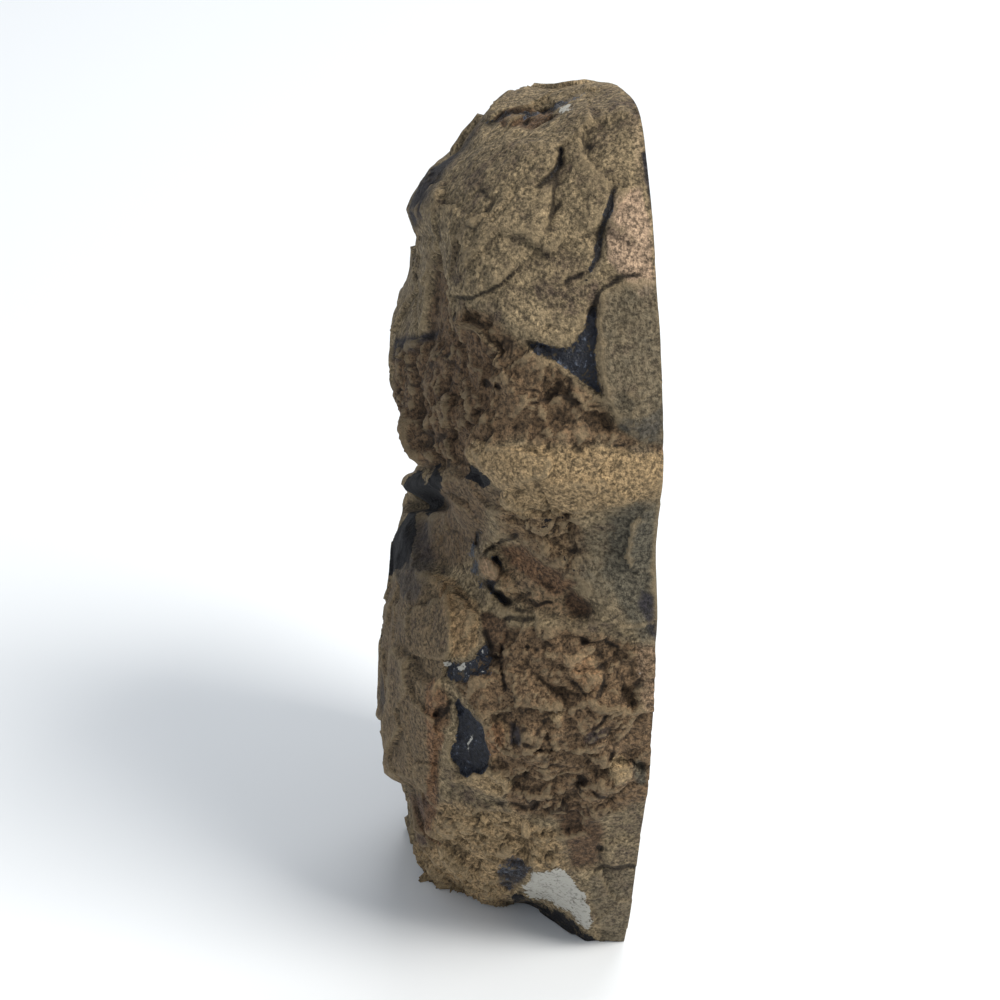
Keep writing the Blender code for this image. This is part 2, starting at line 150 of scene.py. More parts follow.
# Patches of each drawing: (outline, rise, width of its edge, finishes and their strengths).
FRONT_PATCHES = [
    # -- the upper skin
    ([(2, 92), (12, 103), (34, 106), (36, 90), (36, 58), (31, 58.8), (24.8, 65.4), (17.2, 70.7),
      (13.6, 74.2), (10.6, 75.3), (7.7, 73), (0, 70)], 0.0, 1.0, {"crumb": 0.22}),
    ([(12.7, 97), (17, 98), (22.5, 99.8), (26.3, 100.3), (30.3, 98.3), (32, 104), (12, 106),
      (4.7, 97.4), (2.4, 86.7), (5.3, 91.2), (9.5, 95.5)], -0.6, 0.35,
     {"umber_and_painted_shade": 0.2, "crumb": 0.25}),
    ([(21.4, 93.6), (20.7, 89.1), (19.9, 85.3), (18.9, 82.8), (16.7, 80.1), (14.8, 78.3),
      (12.7, 77), (8.3, 76.4), (6.4, 77.2), (4.1, 80.6), (3.3, 83.6), (6.2, 88.4), (10.6, 93.6),
      (14.8, 95), (18.9, 94.7)], 0.7, 0.5, {"grain": 0.35}),
    ([(2.4, 86.1), (5.3, 91.4), (9.7, 95.9), (11.6, 96.4), (9.7, 93.6), (7.1, 90), (5.2, 86.5),
      (3.8, 83.4), (2, 83.2)], 0.0, 0.9, {"plum": 0.85}),
    ([(20.7, 98.3), (21.6, 99.1), (22.9, 99.4), (23, 98.9), (22, 98.2), (21, 97.9)], -0.4, 0.3,
     {"quartz": 0.62}),
    ([(13.6, 97.6), (15.5, 98.8), (18.5, 99), (20.4, 99.2), (20.3, 97.6), (18.2, 96.4),
      (16.8, 96.9), (14.8, 96.6)], -0.7, 0.35, {"umber_and_painted_shade": 0.8, "crumb": 0.7}),
    ([(17.2, 99.8), (18.2, 101.6), (22, 103.5), (27, 103.5), (27, 100.8), (22, 100.4)], 1.0, 0.4,
     {"tan": 0.2}),
    ([(27.9, 88.4), (30.8, 89.7), (31.9, 83.7), (32.5, 77.2), (30.9, 76.3), (29.1, 78.3),
      (27.1, 80.6), (26.7, 83.6)], 0.25, 0.7, {"pink": 0.9}),
    ([(27.9, 89.5), (27, 86.5), (25.6, 83), (25.2, 80.5), (23.6, 78.9), (24.3, 77.6), (26.6, 79.8),
      (27.4, 83), (28.2, 86.5)], 0.0, 0.8, {"plum": 0.3, "olive": 0.4, "jet_and_painted_shadow": 0.24}),
    ([(29, 98), (31.5, 98), (32, 90), (30, 91)], 0.0, 0.8, {"pink": 0.35}),
    ([(7, 94), (10, 98), (16, 103), (24, 106), (24, 100.8), (17, 99.3), (12, 97), (8.5, 93.5)],
     0.0, 0.8, {"calm": 0.8}),
    ([(26, 77), (28.4, 78.1), (30.8, 79.1), (36, 77.8), (36, 59.5), (31, 59), (28.6, 60.9),
      (26.5, 64.2), (26.1, 66.2), (25.7, 70.1)], 0.6, 0.5, {"olive": 0.55, "crumb": 0.3}),
    ([(23.9, 74.5), (24.6, 77.5), (26.4, 79.6), (29.4, 80.2), (31.5, 79.8), (29, 78), (27, 76.2),
      (26.2, 74.5), (26, 72), (24.6, 73)], 0.0, 0.8, {"olive": 0.3, "jet_and_painted_shadow": 0.22}),
    ([(30.6, 93.5), (31.3, 90), (32, 86.5), (32.6, 82.5), (33.6, 82.5), (33.2, 88), (32.2, 94)],
     0.0, 0.35, {"plum": 0.85}),
    ([(28.6, 63), (30.5, 62), (33.5, 64), (36, 64), (36, 59), (31, 59), (28.2, 61)], 0.0, 0.8,
     {"olive": 0.9, "umber_and_painted_shade": 0.6, "plum": 0.4}),
    ([(17.2, 71.2), (18.5, 71.1), (19.8, 70.6), (22, 70.3), (23.4, 71.3), (24.2, 73), (24.8, 75.2),
      (25.6, 75.3), (25.7, 72.4), (25.4, 70.1), (26, 66.2), (26.3, 64.9), (25.1, 65.6), (24, 66.5),
      (22, 68), (19.8, 69.1), (18.2, 69.4)], -0.8, 0.35, {"chalcedony": 0.68}),
    # -- the broken band: its hollowing, then its finish
    (BAND_TOP + [(26, 60.8), (21.3, 60.8), (16.6, 60.4), (13, 59.3), (10.6, 58.2),
      (9.1, 57.2)] + BAND_LEFT, -0.9, 1.1, {"crumb": 0.4}),
    (BAND_TOP + [(31, 59.4), (37, 59), (37, 57.8), (33.5, 57.2), (31, 58.8), (28.6, 57.4),
      (26.2, 59), (23.6, 57.2), (21.3, 58.9), (18.8, 58), (16.6, 59.8), (13, 58.9), (10.6, 57.9),
      (9.1, 56.9)] + BAND_LEFT, 0.0, 1.3, {"umber_and_painted_shade": 0.35, "crumb": 0.8, "grain": 0.35}),
    ([(-2, 70.6), (2.2, 71.6), (4.4, 72.3), (6, 72.6), (5.2, 71.4), (3.2, 69.8), (2, 68.8),
      (-2, 68.5)], -0.2, 0.8, {"plum": 0.85}),
    # -- the sandy crust, its bright upper slope and the dull part below
    ([(9.5, 56), (11, 57), (21, 56.5), (37, 56), (37, 35.6), (30.8, 35.6), (28.4, 37), (26, 38.9),
      (24.8, 40.5), (22.6, 41.9), (21.4, 42.7), (19.5, 44.7), (18, 46.1), (16, 47.3), (14.2, 48),
      (13, 50.3), (14, 53.5)], 1.1, 2.4, {"crumb": 0.2}),
    ([(9.2, 57), (11, 59.5), (15, 59), (20, 57.5), (20, 55), (14, 53.5), (13, 54.8), (10.5, 56)],
     0.9, 0.35, {"tan": 1.0}),
    ([(9.1, 57.1), (10.6, 58.8), (13, 58.7), (16.6, 59.1), (21.3, 59.3), (26, 58.6), (30.8, 58.1),
      (36, 57.7), (36, 52), (28.4, 51.6), (22.5, 50.6), (17.7, 50), (14.8, 51), (14, 52.4),
      (14.2, 53.6), (13.2, 54.8), (11.9, 56.1), (10.6, 56.5)], 0.0, 1.3, {"tan": 0.9}),
    ([(27, 50.5), (31, 52.5), (36, 53), (36, 35.6), (31, 35.6), (29, 38), (25.5, 44)], 0.3, 2.6,
     {"olive": 1.0}),
    ([(21.5, 47), (26, 50.5), (36, 53), (36, 35.6), (30.8, 35.6), (26, 39.5), (22.6, 42.5)],
     0.0, 2.2, {"olive": 0.55}),
    ([(13.5, 53), (16.5, 54), (20.5, 52.5), (23.5, 50), (24.5, 46.5), (24, 43), (21.5, 43.2),
      (19, 45.5), (16, 47.6), (14.2, 48.5)], 0.0, 1.6, {"tan": 0.4, "jet_and_painted_shadow": 0.27, "crumb": 1.0}),
    ([(30.6, 42), (32.2, 41), (33.8, 38.5), (34.5, 35.8), (32.6, 35.8), (31.6, 37), (30.5, 39.5)],
     -0.3, 0.5, {"plum": 0.8, "jet_and_painted_shadow": 0.34}),
    # -- the trough, the hollow and what lies in them
    ([(5.2, 56.2), (7.1, 55.9), (9.2, 56.8), (11.6, 55.9), (13.1, 54.8), (14, 52.8), (13, 50.6),
      (12.9, 47.9), (11.1, 46.5), (10.6, 44.7), (8.3, 44.1), (6.5, 44.6), (4.8, 45.3), (4.5, 48.3),
      (4.7, 51.2), (5.4, 53.6)], -1.2, 1.3, {"umber_and_painted_shade": 0.6, "calm": 0.8}),
    ([(13.4, 47), (15.6, 47.4), (18, 46.1), (19.5, 44.7), (21.4, 42.7), (22.6, 41.9), (24.8, 40.5),
      (25.8, 39.2), (24.4, 38), (22.5, 37.7), (19.9, 38.3), (17.5, 39), (15.4, 40), (14, 41.3),
      (13.5, 42.9), (14.5, 44.4)], -1.7, 1.3, {"ochre": 0.45, "umber_and_painted_shade": 0.3, "grain": 0.5}),
    ([(14.5, 47), (17, 46.8), (20, 44.5), (23, 42.3), (21, 41), (18, 43), (15.5, 45)], 0.0, 0.9,
     {"umber_and_painted_shade": 1.2, "ochre": 0.5}),
    # Painted shade: the shaded right side of the hollow, painted dark brown with a little black.
    ([(22.2, 41.8), (24.4, 40.8), (25.3, 39.6), (24.6, 38.6), (22.8, 38.8), (21.8, 40.2)],
     -0.7, 0.7, {"umber_and_painted_shade": 1.0, "jet_and_painted_shadow": 0.24}),
    ([(13.8, 43.6), (15.8, 43.4), (16.2, 41.2), (14.4, 40.8)], 0.7, 0.8,
     {"ochre": 0.5, "tan": 1.0}),
    ([(11.7, 45.1), (12.7, 45.5), (13.6, 45.1), (14.5, 44.1), (14.2, 42.9), (13.4, 42.5),
      (12.3, 43.2)], 1.3, 0.5, {"ochre": 0.9, "pink": 0.4}),
    ([(9.2, 56.8), (10.9, 56.3), (11.9, 55.9), (13.1, 54.9), (12.9, 54.2), (12.3, 54.1),
      (11.2, 54.6), (10.2, 55), (9.5, 55.4)], -0.3, 0.25, {"jet_and_painted_shadow": 1.0}),
    ([(6.5, 56.8), (7, 55.1), (7.1, 53.2), (7.7, 52.6), (7.7, 51.8), (7, 51), (6.5, 50.4),
      (5.8, 51.1), (5.3, 52.2), (5.4, 53.6), (5.7, 54.8), (6.2, 55.7)], -0.3, 0.25, {"jet_and_painted_shadow": 1.1}),
    ([(1, 54.4), (3.7, 55.5), (4.5, 55.9), (5.4, 55.8), (5.4, 53.6), (5.2, 52.4), (4.6, 51.5),
      (4, 51.6), (1, 53.5)], 0.2, 0.25, {"jet_and_painted_shadow": 1.0}),
    ([(3.4, 51.1), (4.8, 51.1), (5, 49.8), (4.6, 47.1), (4.1, 45.4), (3, 44.2), (1.4, 43.6),
      (-2, 44), (-2, 46.3), (-1, 51.3)], 0.3, 0.35, {"jet_and_painted_shadow": 0.95}),
    # -- the smooth slab and its neighbours
    ([(-3, 41), (2.4, 43.3), (4, 44.6), (6.2, 44.1), (7.8, 42.7), (8.5, 39.4), (8.3, 34.7),
      (7.8, 31.1), (8, 28.7), (7.6, 25.4), (7.8, 22.2), (7.1, 18.7), (5.7, 16.9), (3.5, 18.6),
      (-3, 19.8)], 1.2, 0.5, {"umber_and_painted_shade": 0.5, "grain": 1.0, "calm": 0.35}),
    ([(5.9, 43.9), (8.9, 43.2), (11.1, 40.6), (11.7, 38.8), (11.5, 36.4), (10.6, 34.2), (9.7, 33.5),
      (8.5, 33.6), (7.9, 35.8), (7.5, 39.4)], 0.3, 0.5, {"tan": 1.0, "ochre": 0.4, "grain": 0.4}),
    ([(11.7, 38.9), (12.7, 39.3), (14.9, 38.2), (14.7, 35.8), (14, 33.5), (12.9, 33.5),
      (12.4, 35.6)], -0.4, 0.3, {"umber_and_painted_shade": 0.85}),
    ([(8, 32.1), (8.4, 33), (10.2, 33.1), (11.1, 33.9), (11.8, 35.2), (12.3, 36.2), (12.8, 34.1),
      (12.8, 31.5), (11.1, 31.7), (10.2, 30.6), (9.1, 30.4), (8.3, 31.1)], -0.5, 0.3,
     {"chalcedony": 0.62, "quartz": 0.2}),
    ([(8.7, 28.6), (9.3, 28.9), (9.9, 27.7), (10.9, 27), (11.9, 26.1), (12.4, 25.2), (12.8, 22.6),
      (13, 20.8), (12, 20.2), (11, 20.2), (10.3, 19.8), (9.8, 20.3), (9.5, 22.1), (9.3, 23.9),
      (9.3, 24.8), (9.2, 26.4)], -1.0, 0.3, {"chalcedony": 1.1}),
    ([(10.5, 25.3), (10.9, 24.8), (10.7, 23.6), (10.4, 22.6), (10.1, 22.9), (10.4, 24.1)], 0.0, 0.3,
     {"quartz": 0.75}),
    ([(7.7, 33), (8.5, 33.4), (8.8, 32.7), (8, 32.3)], 0.0, 0.25, {"quartz": 0.75}),
    ([(9.3, 32.6), (10, 33), (10.2, 32.2), (9.5, 31.8)], 0.0, 0.25, {"quartz": 0.75}),
    ([(12.5, 25.8), (14.2, 26.1), (15.1, 24.6), (15, 22.2), (13.5, 21.6), (12.5, 21.4)], 0.0, 0.6,
     {"ochre": 0.7, "tan": 0.95}),
    ([(15, 25.7), (16.3, 25.4), (17.3, 24.4), (16.8, 23.4), (15.4, 23.8)], -0.4, 0.4,
     {"plum": 0.8}),
    ([(6.2, 31.5), (7.8, 31), (8.5, 26), (8.4, 19), (7.6, 12.5), (6, 11.5), (6.2, 17), (6.8, 22),
      (6.3, 27)], -0.3, 0.6, {"umber_and_painted_shade": 0.8, "ochre": 0.6}),
    ([(9.2, 19.4), (10.3, 20.3), (12.3, 20.9), (13.5, 20.6), (14.9, 20), (15.5, 19.3), (15.4, 18.1),
      (14.3, 16.9), (12.9, 17.4), (11.2, 18.3), (9.8, 18.9)], 0.9, 0.5, {"tan": 0.95}),
    ([(3, 18.6), (5.7, 17.6), (7.2, 18.8), (7, 15), (6.4, 11.5), (4.6, 10.5), (3.5, 13)], -0.2, 1.0,
     {"umber_and_painted_shade": 0.7, "plum": 0.5, "ochre": 0.5, "jet_and_painted_shadow": 0.24}),
    # -- the crumbled lower part
    ([(9, 30), (14, 37.5), (25, 37), (31, 35), (35, 35), (35, 18), (30, 16.5), (26, 15), (16, 15),
      (13, 20), (12.6, 26)], 0.0, 1.0, {"crumb": 1.0}),
    ([(30, 35.6), (33.4, 35.8), (33.1, 31.1), (32.2, 26.9), (30.8, 27.3), (30.3, 29.9)], 0.2, 0.5,
     {"pink": 0.4, "quartz": 0.1}),
    ([(21.6, 34.1), (23.7, 34.4), (26, 33.5), (26.4, 31.3), (25.9, 29.5), (24.1, 29.7),
      (22.8, 30.9)], 0.5, 0.35, {"ochre": 0.6, "tan": 0.75}),
    ([(24.1, 24.6), (25.8, 26.1), (27.2, 25.7), (27.2, 24.7), (26.4, 24.1), (24.2, 23.4)], 0.4, 0.3,
     {"umber_and_painted_shade": 1.2, "plum": 0.5}),
    ([(27, 21.4), (27.8, 22.2), (29, 21.8), (29.9, 20.5), (29.9, 19.8), (29, 19.2), (28, 19),
      (27.2, 19.6)], 0.7, 0.4, {"tan": 1.0}),
    ([(30, 21.4), (30.8, 21.9), (31.7, 20.7), (31.6, 18.7), (30.8, 18.6), (30, 19.8)], -0.2, 0.4,
     {"olive": 0.8}),
    ([(19.7, 26), (21, 25.8), (21.8, 26.8), (20.5, 27.4)], 0.3, 0.3, {"tan": 0.7}),
    # Painted shadow: the brown shadow beside the toe.
    ([(20.5, 16.3), (24, 16.2), (26.5, 14), (26.2, 9.5), (25, 8.9), (22.5, 9)], -0.4, 1.7,
     {"umber_and_painted_shade": 0.95}),
    ([(26.7, 15.5), (29.6, 16.6), (33, 18.3), (33, 9.1), (26.5, 9.1), (26.3, 11), (26.6, 13.4)],
     0.0, 1.2, {"olive": 0.3}),
    # -- the toe and the lower left
    ([(5.5, 13), (9, 17), (16, 15), (20.5, 13), (22, 9), (17.5, 9), (15.5, 6), (13, 3), (3, 3),
      (3, 11)], 0.0, 1.6, {"ochre": 0.3, "tan": 1.0, "crumb": 1.0}),
    ([(15.1, 10.2), (17, 9.8), (17.9, 8.9), (16.9, 7.3), (15.6, 6.4), (14.1, 6.9), (13.7, 8.2),
      (14.4, 9.2)], -0.2, 0.5, {"plum": 0.8, "chalcedony": 0.46, "jet_and_painted_shadow": 0.15}),
    ([(17.9, 8.5), (19.6, 9.1), (21.3, 9), (22.6, 7.9), (24, 5.8), (24.8, 4.1), (25.4, 2.4),
      (24.5, 1.5), (23.4, 2.2), (22.3, 3.2), (20.8, 4), (19.2, 4.9), (18.1, 5.3), (16.8, 6.1),
      (16.8, 6.8), (17.6, 7.3)], 0.2, 0.5, {"quartz": 0.74}),
    # Painted shadow: the black band along the foot, below the quartz, is contact shadow painted as
    # dark film.
    ([(15.7, 6.4), (17, 5.8), (18.4, 5), (19.7, 4.4), (21.1, 3.6), (22.8, 2.8), (23.9, 1.7),
      (25.1, 1.3), (26, -0.4), (24.6, -1.6), (23.1, -0.6), (21.3, 0.8), (19.5, 2.1), (17.5, 3),
      (15.7, 4)], -0.3, 0.45, {"jet_and_painted_shadow": 0.62}),
    ([(25.4, 8.5), (27.8, 8.8), (33, 8.8), (33, -2), (26, -1), (25.9, 1.5), (25.3, 3.7),
      (24.5, 5.7), (24.8, 7.5)], 0.15, 0.5, {"olive": 0.5}),
]
LEFT_PATCHES = [
    ([(-4, 49), (3, 50.5), (9, 48), (10, 44), (6, 41.5), (0, 42), (-3, 45)], 0.7, 1.2,
     {"plum": 0.6}),
    ([(6, 84), (22, 80), (24, 64), (8, 62), (0, 72)], -1.3, 0.9, {"umber_and_painted_shade": 0.6, "crumb": 0.6}),
    ([(8, 36), (20, 38), (22, 18), (10, 12), (4, 22)], 1.1, 0.7, {"umber_and_painted_shade": 0.35, "grain": 0.8}),
    ([(-12, 36), (-2, 38), (6, 30), (2, 14), (-10, 16)], 0.0, 0.8, {"umber_and_painted_shade": 0.35, "grain": 1.0}),
    ([(-6, 70), (8, 72), (12, 62), (2, 57), (-8, 60)], 0.0, 1.2, {"umber_and_painted_shade": 0.6, "crumb": 0.4}),
    ([(-5, 27), (-3, 30), (0, 27), (1, 23), (-2, 19), (-5, 21)], -0.6, 1.2, {"plum": 0.6}),
]
BACK_PATCHES = [
    ([(-22, 88), (-4, 93), (6, 80), (2, 66), (-14, 62), (-24, 70)], 1.2, 0.7, {"grain": 0.5}),
    ([(4, 60), (22, 66), (26, 48), (14, 38), (2, 44)], -1.6, 0.8, {"umber_and_painted_shade": 0.65, "crumb": 0.6}),
    ([(-24, 52), (-8, 56), (0, 42), (-6, 24), (-22, 22)], 1.3, 0.8, {"tan": 0.5}),
    ([(4, 30), (18, 30), (20, 12), (6, 8)], -1.1, 0.8, {"crumb": 1.0, "ochre": 0.4}),
    ([(8, 56), (13, 58.5), (16, 57), (15.5, 53), (18, 50), (14, 47), (10.5, 48.5), (10, 52)],
     -0.7, 0.8, {"chalcedony": 0.85}),
    ([(-18, 80), (-10, 84), (-8, 76), (-15, 72)], 0.0, 0.9, {"pink": 0.7}),
    ([(-14, 16), (-2, 20), (2, 8), (-10, 4)], 0.0, 1.0, {"olive": 0.7}),
    ([(10, 84), (20, 78), (18, 70), (9, 74)], -0.6, 0.8, {"umber_and_painted_shade": 0.5, "crumb": 0.7}),
    ([(-20, 40), (-13, 42), (-12, 33), (-18, 30)], 0.4, 1.2, {"quartz": 0.5}),
]
PATCHES = {FRONT: FRONT_PATCHES, LEFT: LEFT_PATCHES, BACK: BACK_PATCHES}

# Cracks and grooves of each drawing: (path, depth, half width), and the film's half width where a
# dark film lies along one.
FRONT_CRACKS = [
    ([(21.5, 93.8), (20.9, 91.4), (20.6, 89), (20.6, 87.1), (19.8, 84.9), (18.9, 82.7), (16.7, 80),
      (14.8, 78.2), (12.7, 77), (11, 76.4), (8.3, 76.4), (6.4, 77.5)], 0.35, 0.28),
    ([(21.4, 93.6), (21.1, 91.8), (20.2, 90.3), (18.9, 89.3)], 0.8, 0.4, 0.42),
    ([(27.9, 89.3), (27.4, 87.5), (26.5, 85.4), (25.9, 82.8), (25.8, 81.3), (24.8, 79.8)],
     0.5, 0.4, 0.45),
    ([(30.8, 79.4), (28.6, 78.9), (26.7, 77.5), (25.6, 76.1), (24.8, 74.3)], 0.35, 0.3),
    ([(23.9, 79.4), (22.7, 78.8), (22, 78)], 0.6, 0.35),
    ([(12.7, 96.9), (14.8, 97.8), (17, 98.1), (17.9, 98.3), (19.8, 98.8), (20.8, 99.2),
      (22.5, 99.8), (24.1, 100.4), (26.3, 100.3)], 1.1, 0.45, 0.4),
    ([(11.8, 89.1), (12.8, 88.1), (13.8, 87.9), (12.7, 86.2), (11.4, 84.3), (9.9, 84.8)],
     0.35, 0.3),
    ([(21.4, 87.2), (20.2, 85.8), (19.9, 84.3)], 0.4, 0.3),
    ([(18.2, 63.8), (19.9, 64.5), (20.3, 64.9), (21.2, 65.4)], 0.7, 0.3),
    ([(9, 74.5), (8.3, 73.5), (7.8, 72)], 0.4, 0.3),
    ([(12.6, 46.2), (13.4, 47), (14.4, 47.5), (15.8, 47.8)], 0.9, 0.34),
    ([(15.9, 40.2), (16.8, 41.2), (17.6, 40.6), (18.8, 39.8), (20.2, 40.2)], 0.6, 0.3),
    ([(12, 48.6), (11.3, 47.1), (10.9, 45.9), (11.4, 43.9), (11.8, 42.6), (12.9, 41.9), (14.2, 41),
      (15.4, 40)], 1.2, 0.5, 0.62),
    ([(7.4, 47.1), (7.7, 48.2), (8.5, 48.7), (9.4, 48.3), (10, 47.5), (11.2, 47.2)], 0.8, 0.34),
    ([(13.7, 45.4), (14.3, 44.8), (14.7, 43.8), (14, 42.8), (13, 42.3), (12.1, 42.9)],
     1.0, 0.4, 0.42),
    ([(14.8, 38.3), (16.8, 38.3), (18.2, 38.2)], 0.5, 0.3),
    ([(16.2, 39.3), (16.8, 39), (17.6, 39.4)], 0.4, 0.3),
    ([(12.2, 37), (12.5, 36), (12.8, 34.2), (13.1, 33.6)], 0.6, 0.3),
    ([(14.3, 35.2), (13.8, 33.5), (14.2, 32.4), (14.7, 31.8)], 0.6, 0.3),
    ([(22.2, 31.4), (22.9, 30.5), (24.1, 29.7), (25.9, 29.5), (26.4, 31.3), (26.3, 33.2)],
     0.4, 0.26),
    ([(26.7, 27.2), (25.8, 26.1), (25.1, 25.4), (24.1, 24.2)], 0.5, 0.3),
    ([(24.2, 23.4), (26.4, 24.1), (27.3, 24.8)], 0.6, 0.3),
    ([(17.5, 23.9), (18.3, 23.8), (19.3, 23.9), (19.9, 23.3), (20.9, 23.7), (21.5, 24.1)],
     0.6, 0.3),
    ([(27.8, 23.8), (27.7, 22.7), (27.2, 21.9)], 0.5, 0.3),
    ([(12.3, 16.8), (13.5, 16.6), (14.5, 16.2)], 0.7, 0.3),
    ([(15.6, 16.1), (17, 15.9), (18.5, 16.3)], 0.7, 0.3),
    ([(9.9, 18.7), (11.1, 18.5)], 0.6, 0.3),
    ([(15.6, 19.4), (16.3, 19), (17.2, 19.2)], 0.5, 0.3),
    ([(21.5, 16.4), (22.6, 15.5), (22.7, 14.2), (22.2, 13.2)], 0.6, 0.3),
    ([(25.3, 17.9), (26.5, 17.5)], 0.7, 0.3),
    ([(25.4, 8.5), (26.6, 8.9), (28, 8.5), (29.4, 8.9), (31, 8.6), (33, 9)], 0.2, 0.28),
    ([(26.4, 11.3), (26, 10.5), (26.2, 9.8)], 0.6, 0.3),
    ([(8.2, 28.7), (7.8, 27.1), (7.8, 25.2)], 0.7, 0.3),
    ([(4.3, 49.1), (4, 47.1), (3.8, 45.1)], 0.5, 0.3),
    ([(14.8, 30.2), (14.2, 33), (14.3, 35.2)], 0.6, 0.3),
    ([(26.7, 35.8), (28.6, 34.4), (29.6, 33.2), (30, 31.6)], 0.5, 0.3),
]
LEFT_CRACKS = [
    ([(-8, 80), (0, 76), (4, 68), (12, 64)], 0.7, 0.35),
    ([(2, 40), (6, 30), (4, 18), (8, 8)], 0.7, 0.3),
    ([(14, 52), (20, 48), (24, 40)], 0.6, 0.3),
]
BACK_CRACKS = [
    ([(-22, 60), (-10, 58), (0, 62), (12, 60), (24, 68)], 0.8, 0.35),
    ([(0, 36), (4, 26), (2, 14), (8, 6)], 0.7, 0.3),
    ([(-4, 92), (-2, 82), (4, 76), (6, 68)], 0.5, 0.3),
    ([(-18, 28), (-10, 22), (-12, 12)], 0.6, 0.3),
]
CRACKS = {FRONT: FRONT_CRACKS, LEFT: LEFT_CRACKS, BACK: BACK_CRACKS}

# Pits and holes of each drawing: (middle, radius, depth).
PITS = {
    FRONT: [((23.9, 19), 0.75, 1.3), ((17.5, 97.4), 0.4, 0.7), ((24.2, 35.8), 0.55, 0.9),
            ((17.6, 34.8), 0.35, 0.6), ((15.1, 40.1), 0.4, 0.6), ((11.6, 66), 0.5, 0.6),
            ((14.3, 65.9), 0.45, 0.6), ((6.9, 69.4), 0.4, 0.5), ((24.8, 94.2), 0.45, 0.25),
            ((26, 11.2), 0.45, 0.7)],
    BACK: [((-6, 70), 0.8, 0.9), ((14, 24), 0.7, 1.0), ((6, 50), 0.6, 0.8)],
    LEFT: [((16, 74), 0.7, 0.9), ((-4, 66), 0.5, 0.7)],
}

# Noise over the rind: (size, height, seed). Flakes have a tilt before the seed.
LUMPS = [(26.0, 0.9, 3), (11.0, 0.45, 4)]
FLAKES = [(7.0, 0.45, 0.12, 11)]
SKIN_LUMPS = [(4.5, 0.12, 5), (1.9, 0.09, 6), (0.9, 0.05, 7)]
CRUMB_STRETCH = (1.0, 1.0, 1.2)       # crumbled flakes are wider than they are high
CRUMB_FLAKES = [(5.2, 0.55, 0.26, 21), (2.6, 0.34, 0.34, 31), (1.2, 0.15, 0.40, 38)]
CRUMB_LUMPS = [(3.2, 0.22, 8), (1.5, 0.15, 9), (0.8, 0.10, 10)]
CRUMB_LEDGES = [(3.1, 0.60, 2, 94)]   # with the number of levels before the seed
LEDGE_RISER = 0.30                    # share of a level that is its steep edge
FIBRES = [((1.1, 1.1, 9.0), 0.22, 71), ((0.55, 0.55, 5.0), 0.12, 71)]
SEED_STRAY = 0.4                      # how far a flake's seed strays from its cell's middle
GLASSY_CALM = 0.8                     # share of the fine relief that glassy and calm stone loses

# Crevices of crumbled stone: (size, depth, width, seed).
CREVICES = [(4.6, 0.30, 0.06, 91), (2.0, 0.20, 0.08, 96)]
CREVICE_DETAIL = (0.3, 2.6)     # strength and fineness of the noise that frays them
CREVICE_PLACES = (1.7, 0.25)    # coarseness and edge of the noise that says where they are
CREVICE_CRUMB = (0.15, 0.7)     # they come in between these strengths of crumble
# how strongly crevices are darkened: dirt and painted shade
CREVICE_DIRT_AND_SHADE = 0.75

# Drawn outlines wander from their line: (size, reach, seed). The side and back drawings are also
# bent: (reach, size, seed across, seed up).
WANDER = [(5.0, 0.20, 41), (1.6, 0.24, 47), (0.7, 0.13, 53)]
BENDS = [(2.2, 7.5, 101, 103), (1.0, 2.6, 105, 107)]

# A crack's width, film and fading each follow a noise: (size, seed).
CRACK_NOISE = [(1.8, 81), (1.3, 83), (3.2, 85)]
CRACK_WIDTH_NOISE = 0.4
CRACK_FADE = (-0.5, 0.3)        # it fades between these levels of its noise
CRACK_LEAST = 0.45              # to this share
FILM_STRENGTH = 0.62
FILM_NOISE = 0.6

RIM_SOFTNESS = 0.12
RIM_CALM = (0.3, 0.2, 3.5)      # share of the relief left at the sawn rim, and where it comes back
TOP_LIMIT = (102.9, 0.6)        # the top is pressed to this height, and how softly
HOLLOW_BLURS = (5, 22)          # passes of the near and the far average of the surroundings
FOOT_HUB = (6.0, 2.0)           # below the ground the stone draws in towards this point
FOOT_DRAW_IN = 0.6
FOOT_DRAW_POWER = 0.6

# Factors and shifts of the pseudo-random numbers
HASH_AXES = (73856093, 19349663, 83492791)
HASH_SEED = 2654435761
HASH_START = (1664525, 1013904223)
HASH_ROUNDS = ((15, 2246822519), (13, 3266489917))
HASH_LAST = 16
LOW_32 = 0xFFFFFFFF
LOW_24 = 0xFFFFFF
HALF_24 = 0x7FFFFF

# Kinds of shader node, and settings that many of them share. A colour mix has its colours at
# inputs 6 and 7 and its output at 2. A step goes from input 1 to input 2, and gives 3 to 4.
MATH = "ShaderNodeMath"
VECTOR = "ShaderNodeVectorMath"
MIX = "ShaderNodeMix"
STEP = "ShaderNodeMapRange"
RAMP = "ShaderNodeValToRGB"
NOISE = "ShaderNodeTexNoise"
MARK = "ShaderNodeAttribute"
TIMES = {"operation": "MULTIPLY"}
TIMES_PLUS = {"operation": "MULTIPLY_ADD"}
MINUS = {"operation": "SUBTRACT"}
SOFT = {"interpolation_type": "SMOOTHSTEP"}
COLORS = {"output": 2, "data_type": "RGBA"}
TINTED = {"output": 2, "data_type": "RGBA", "blend_type": "MULTIPLY"}
NUMBERS = {"data_type": "FLOAT"}

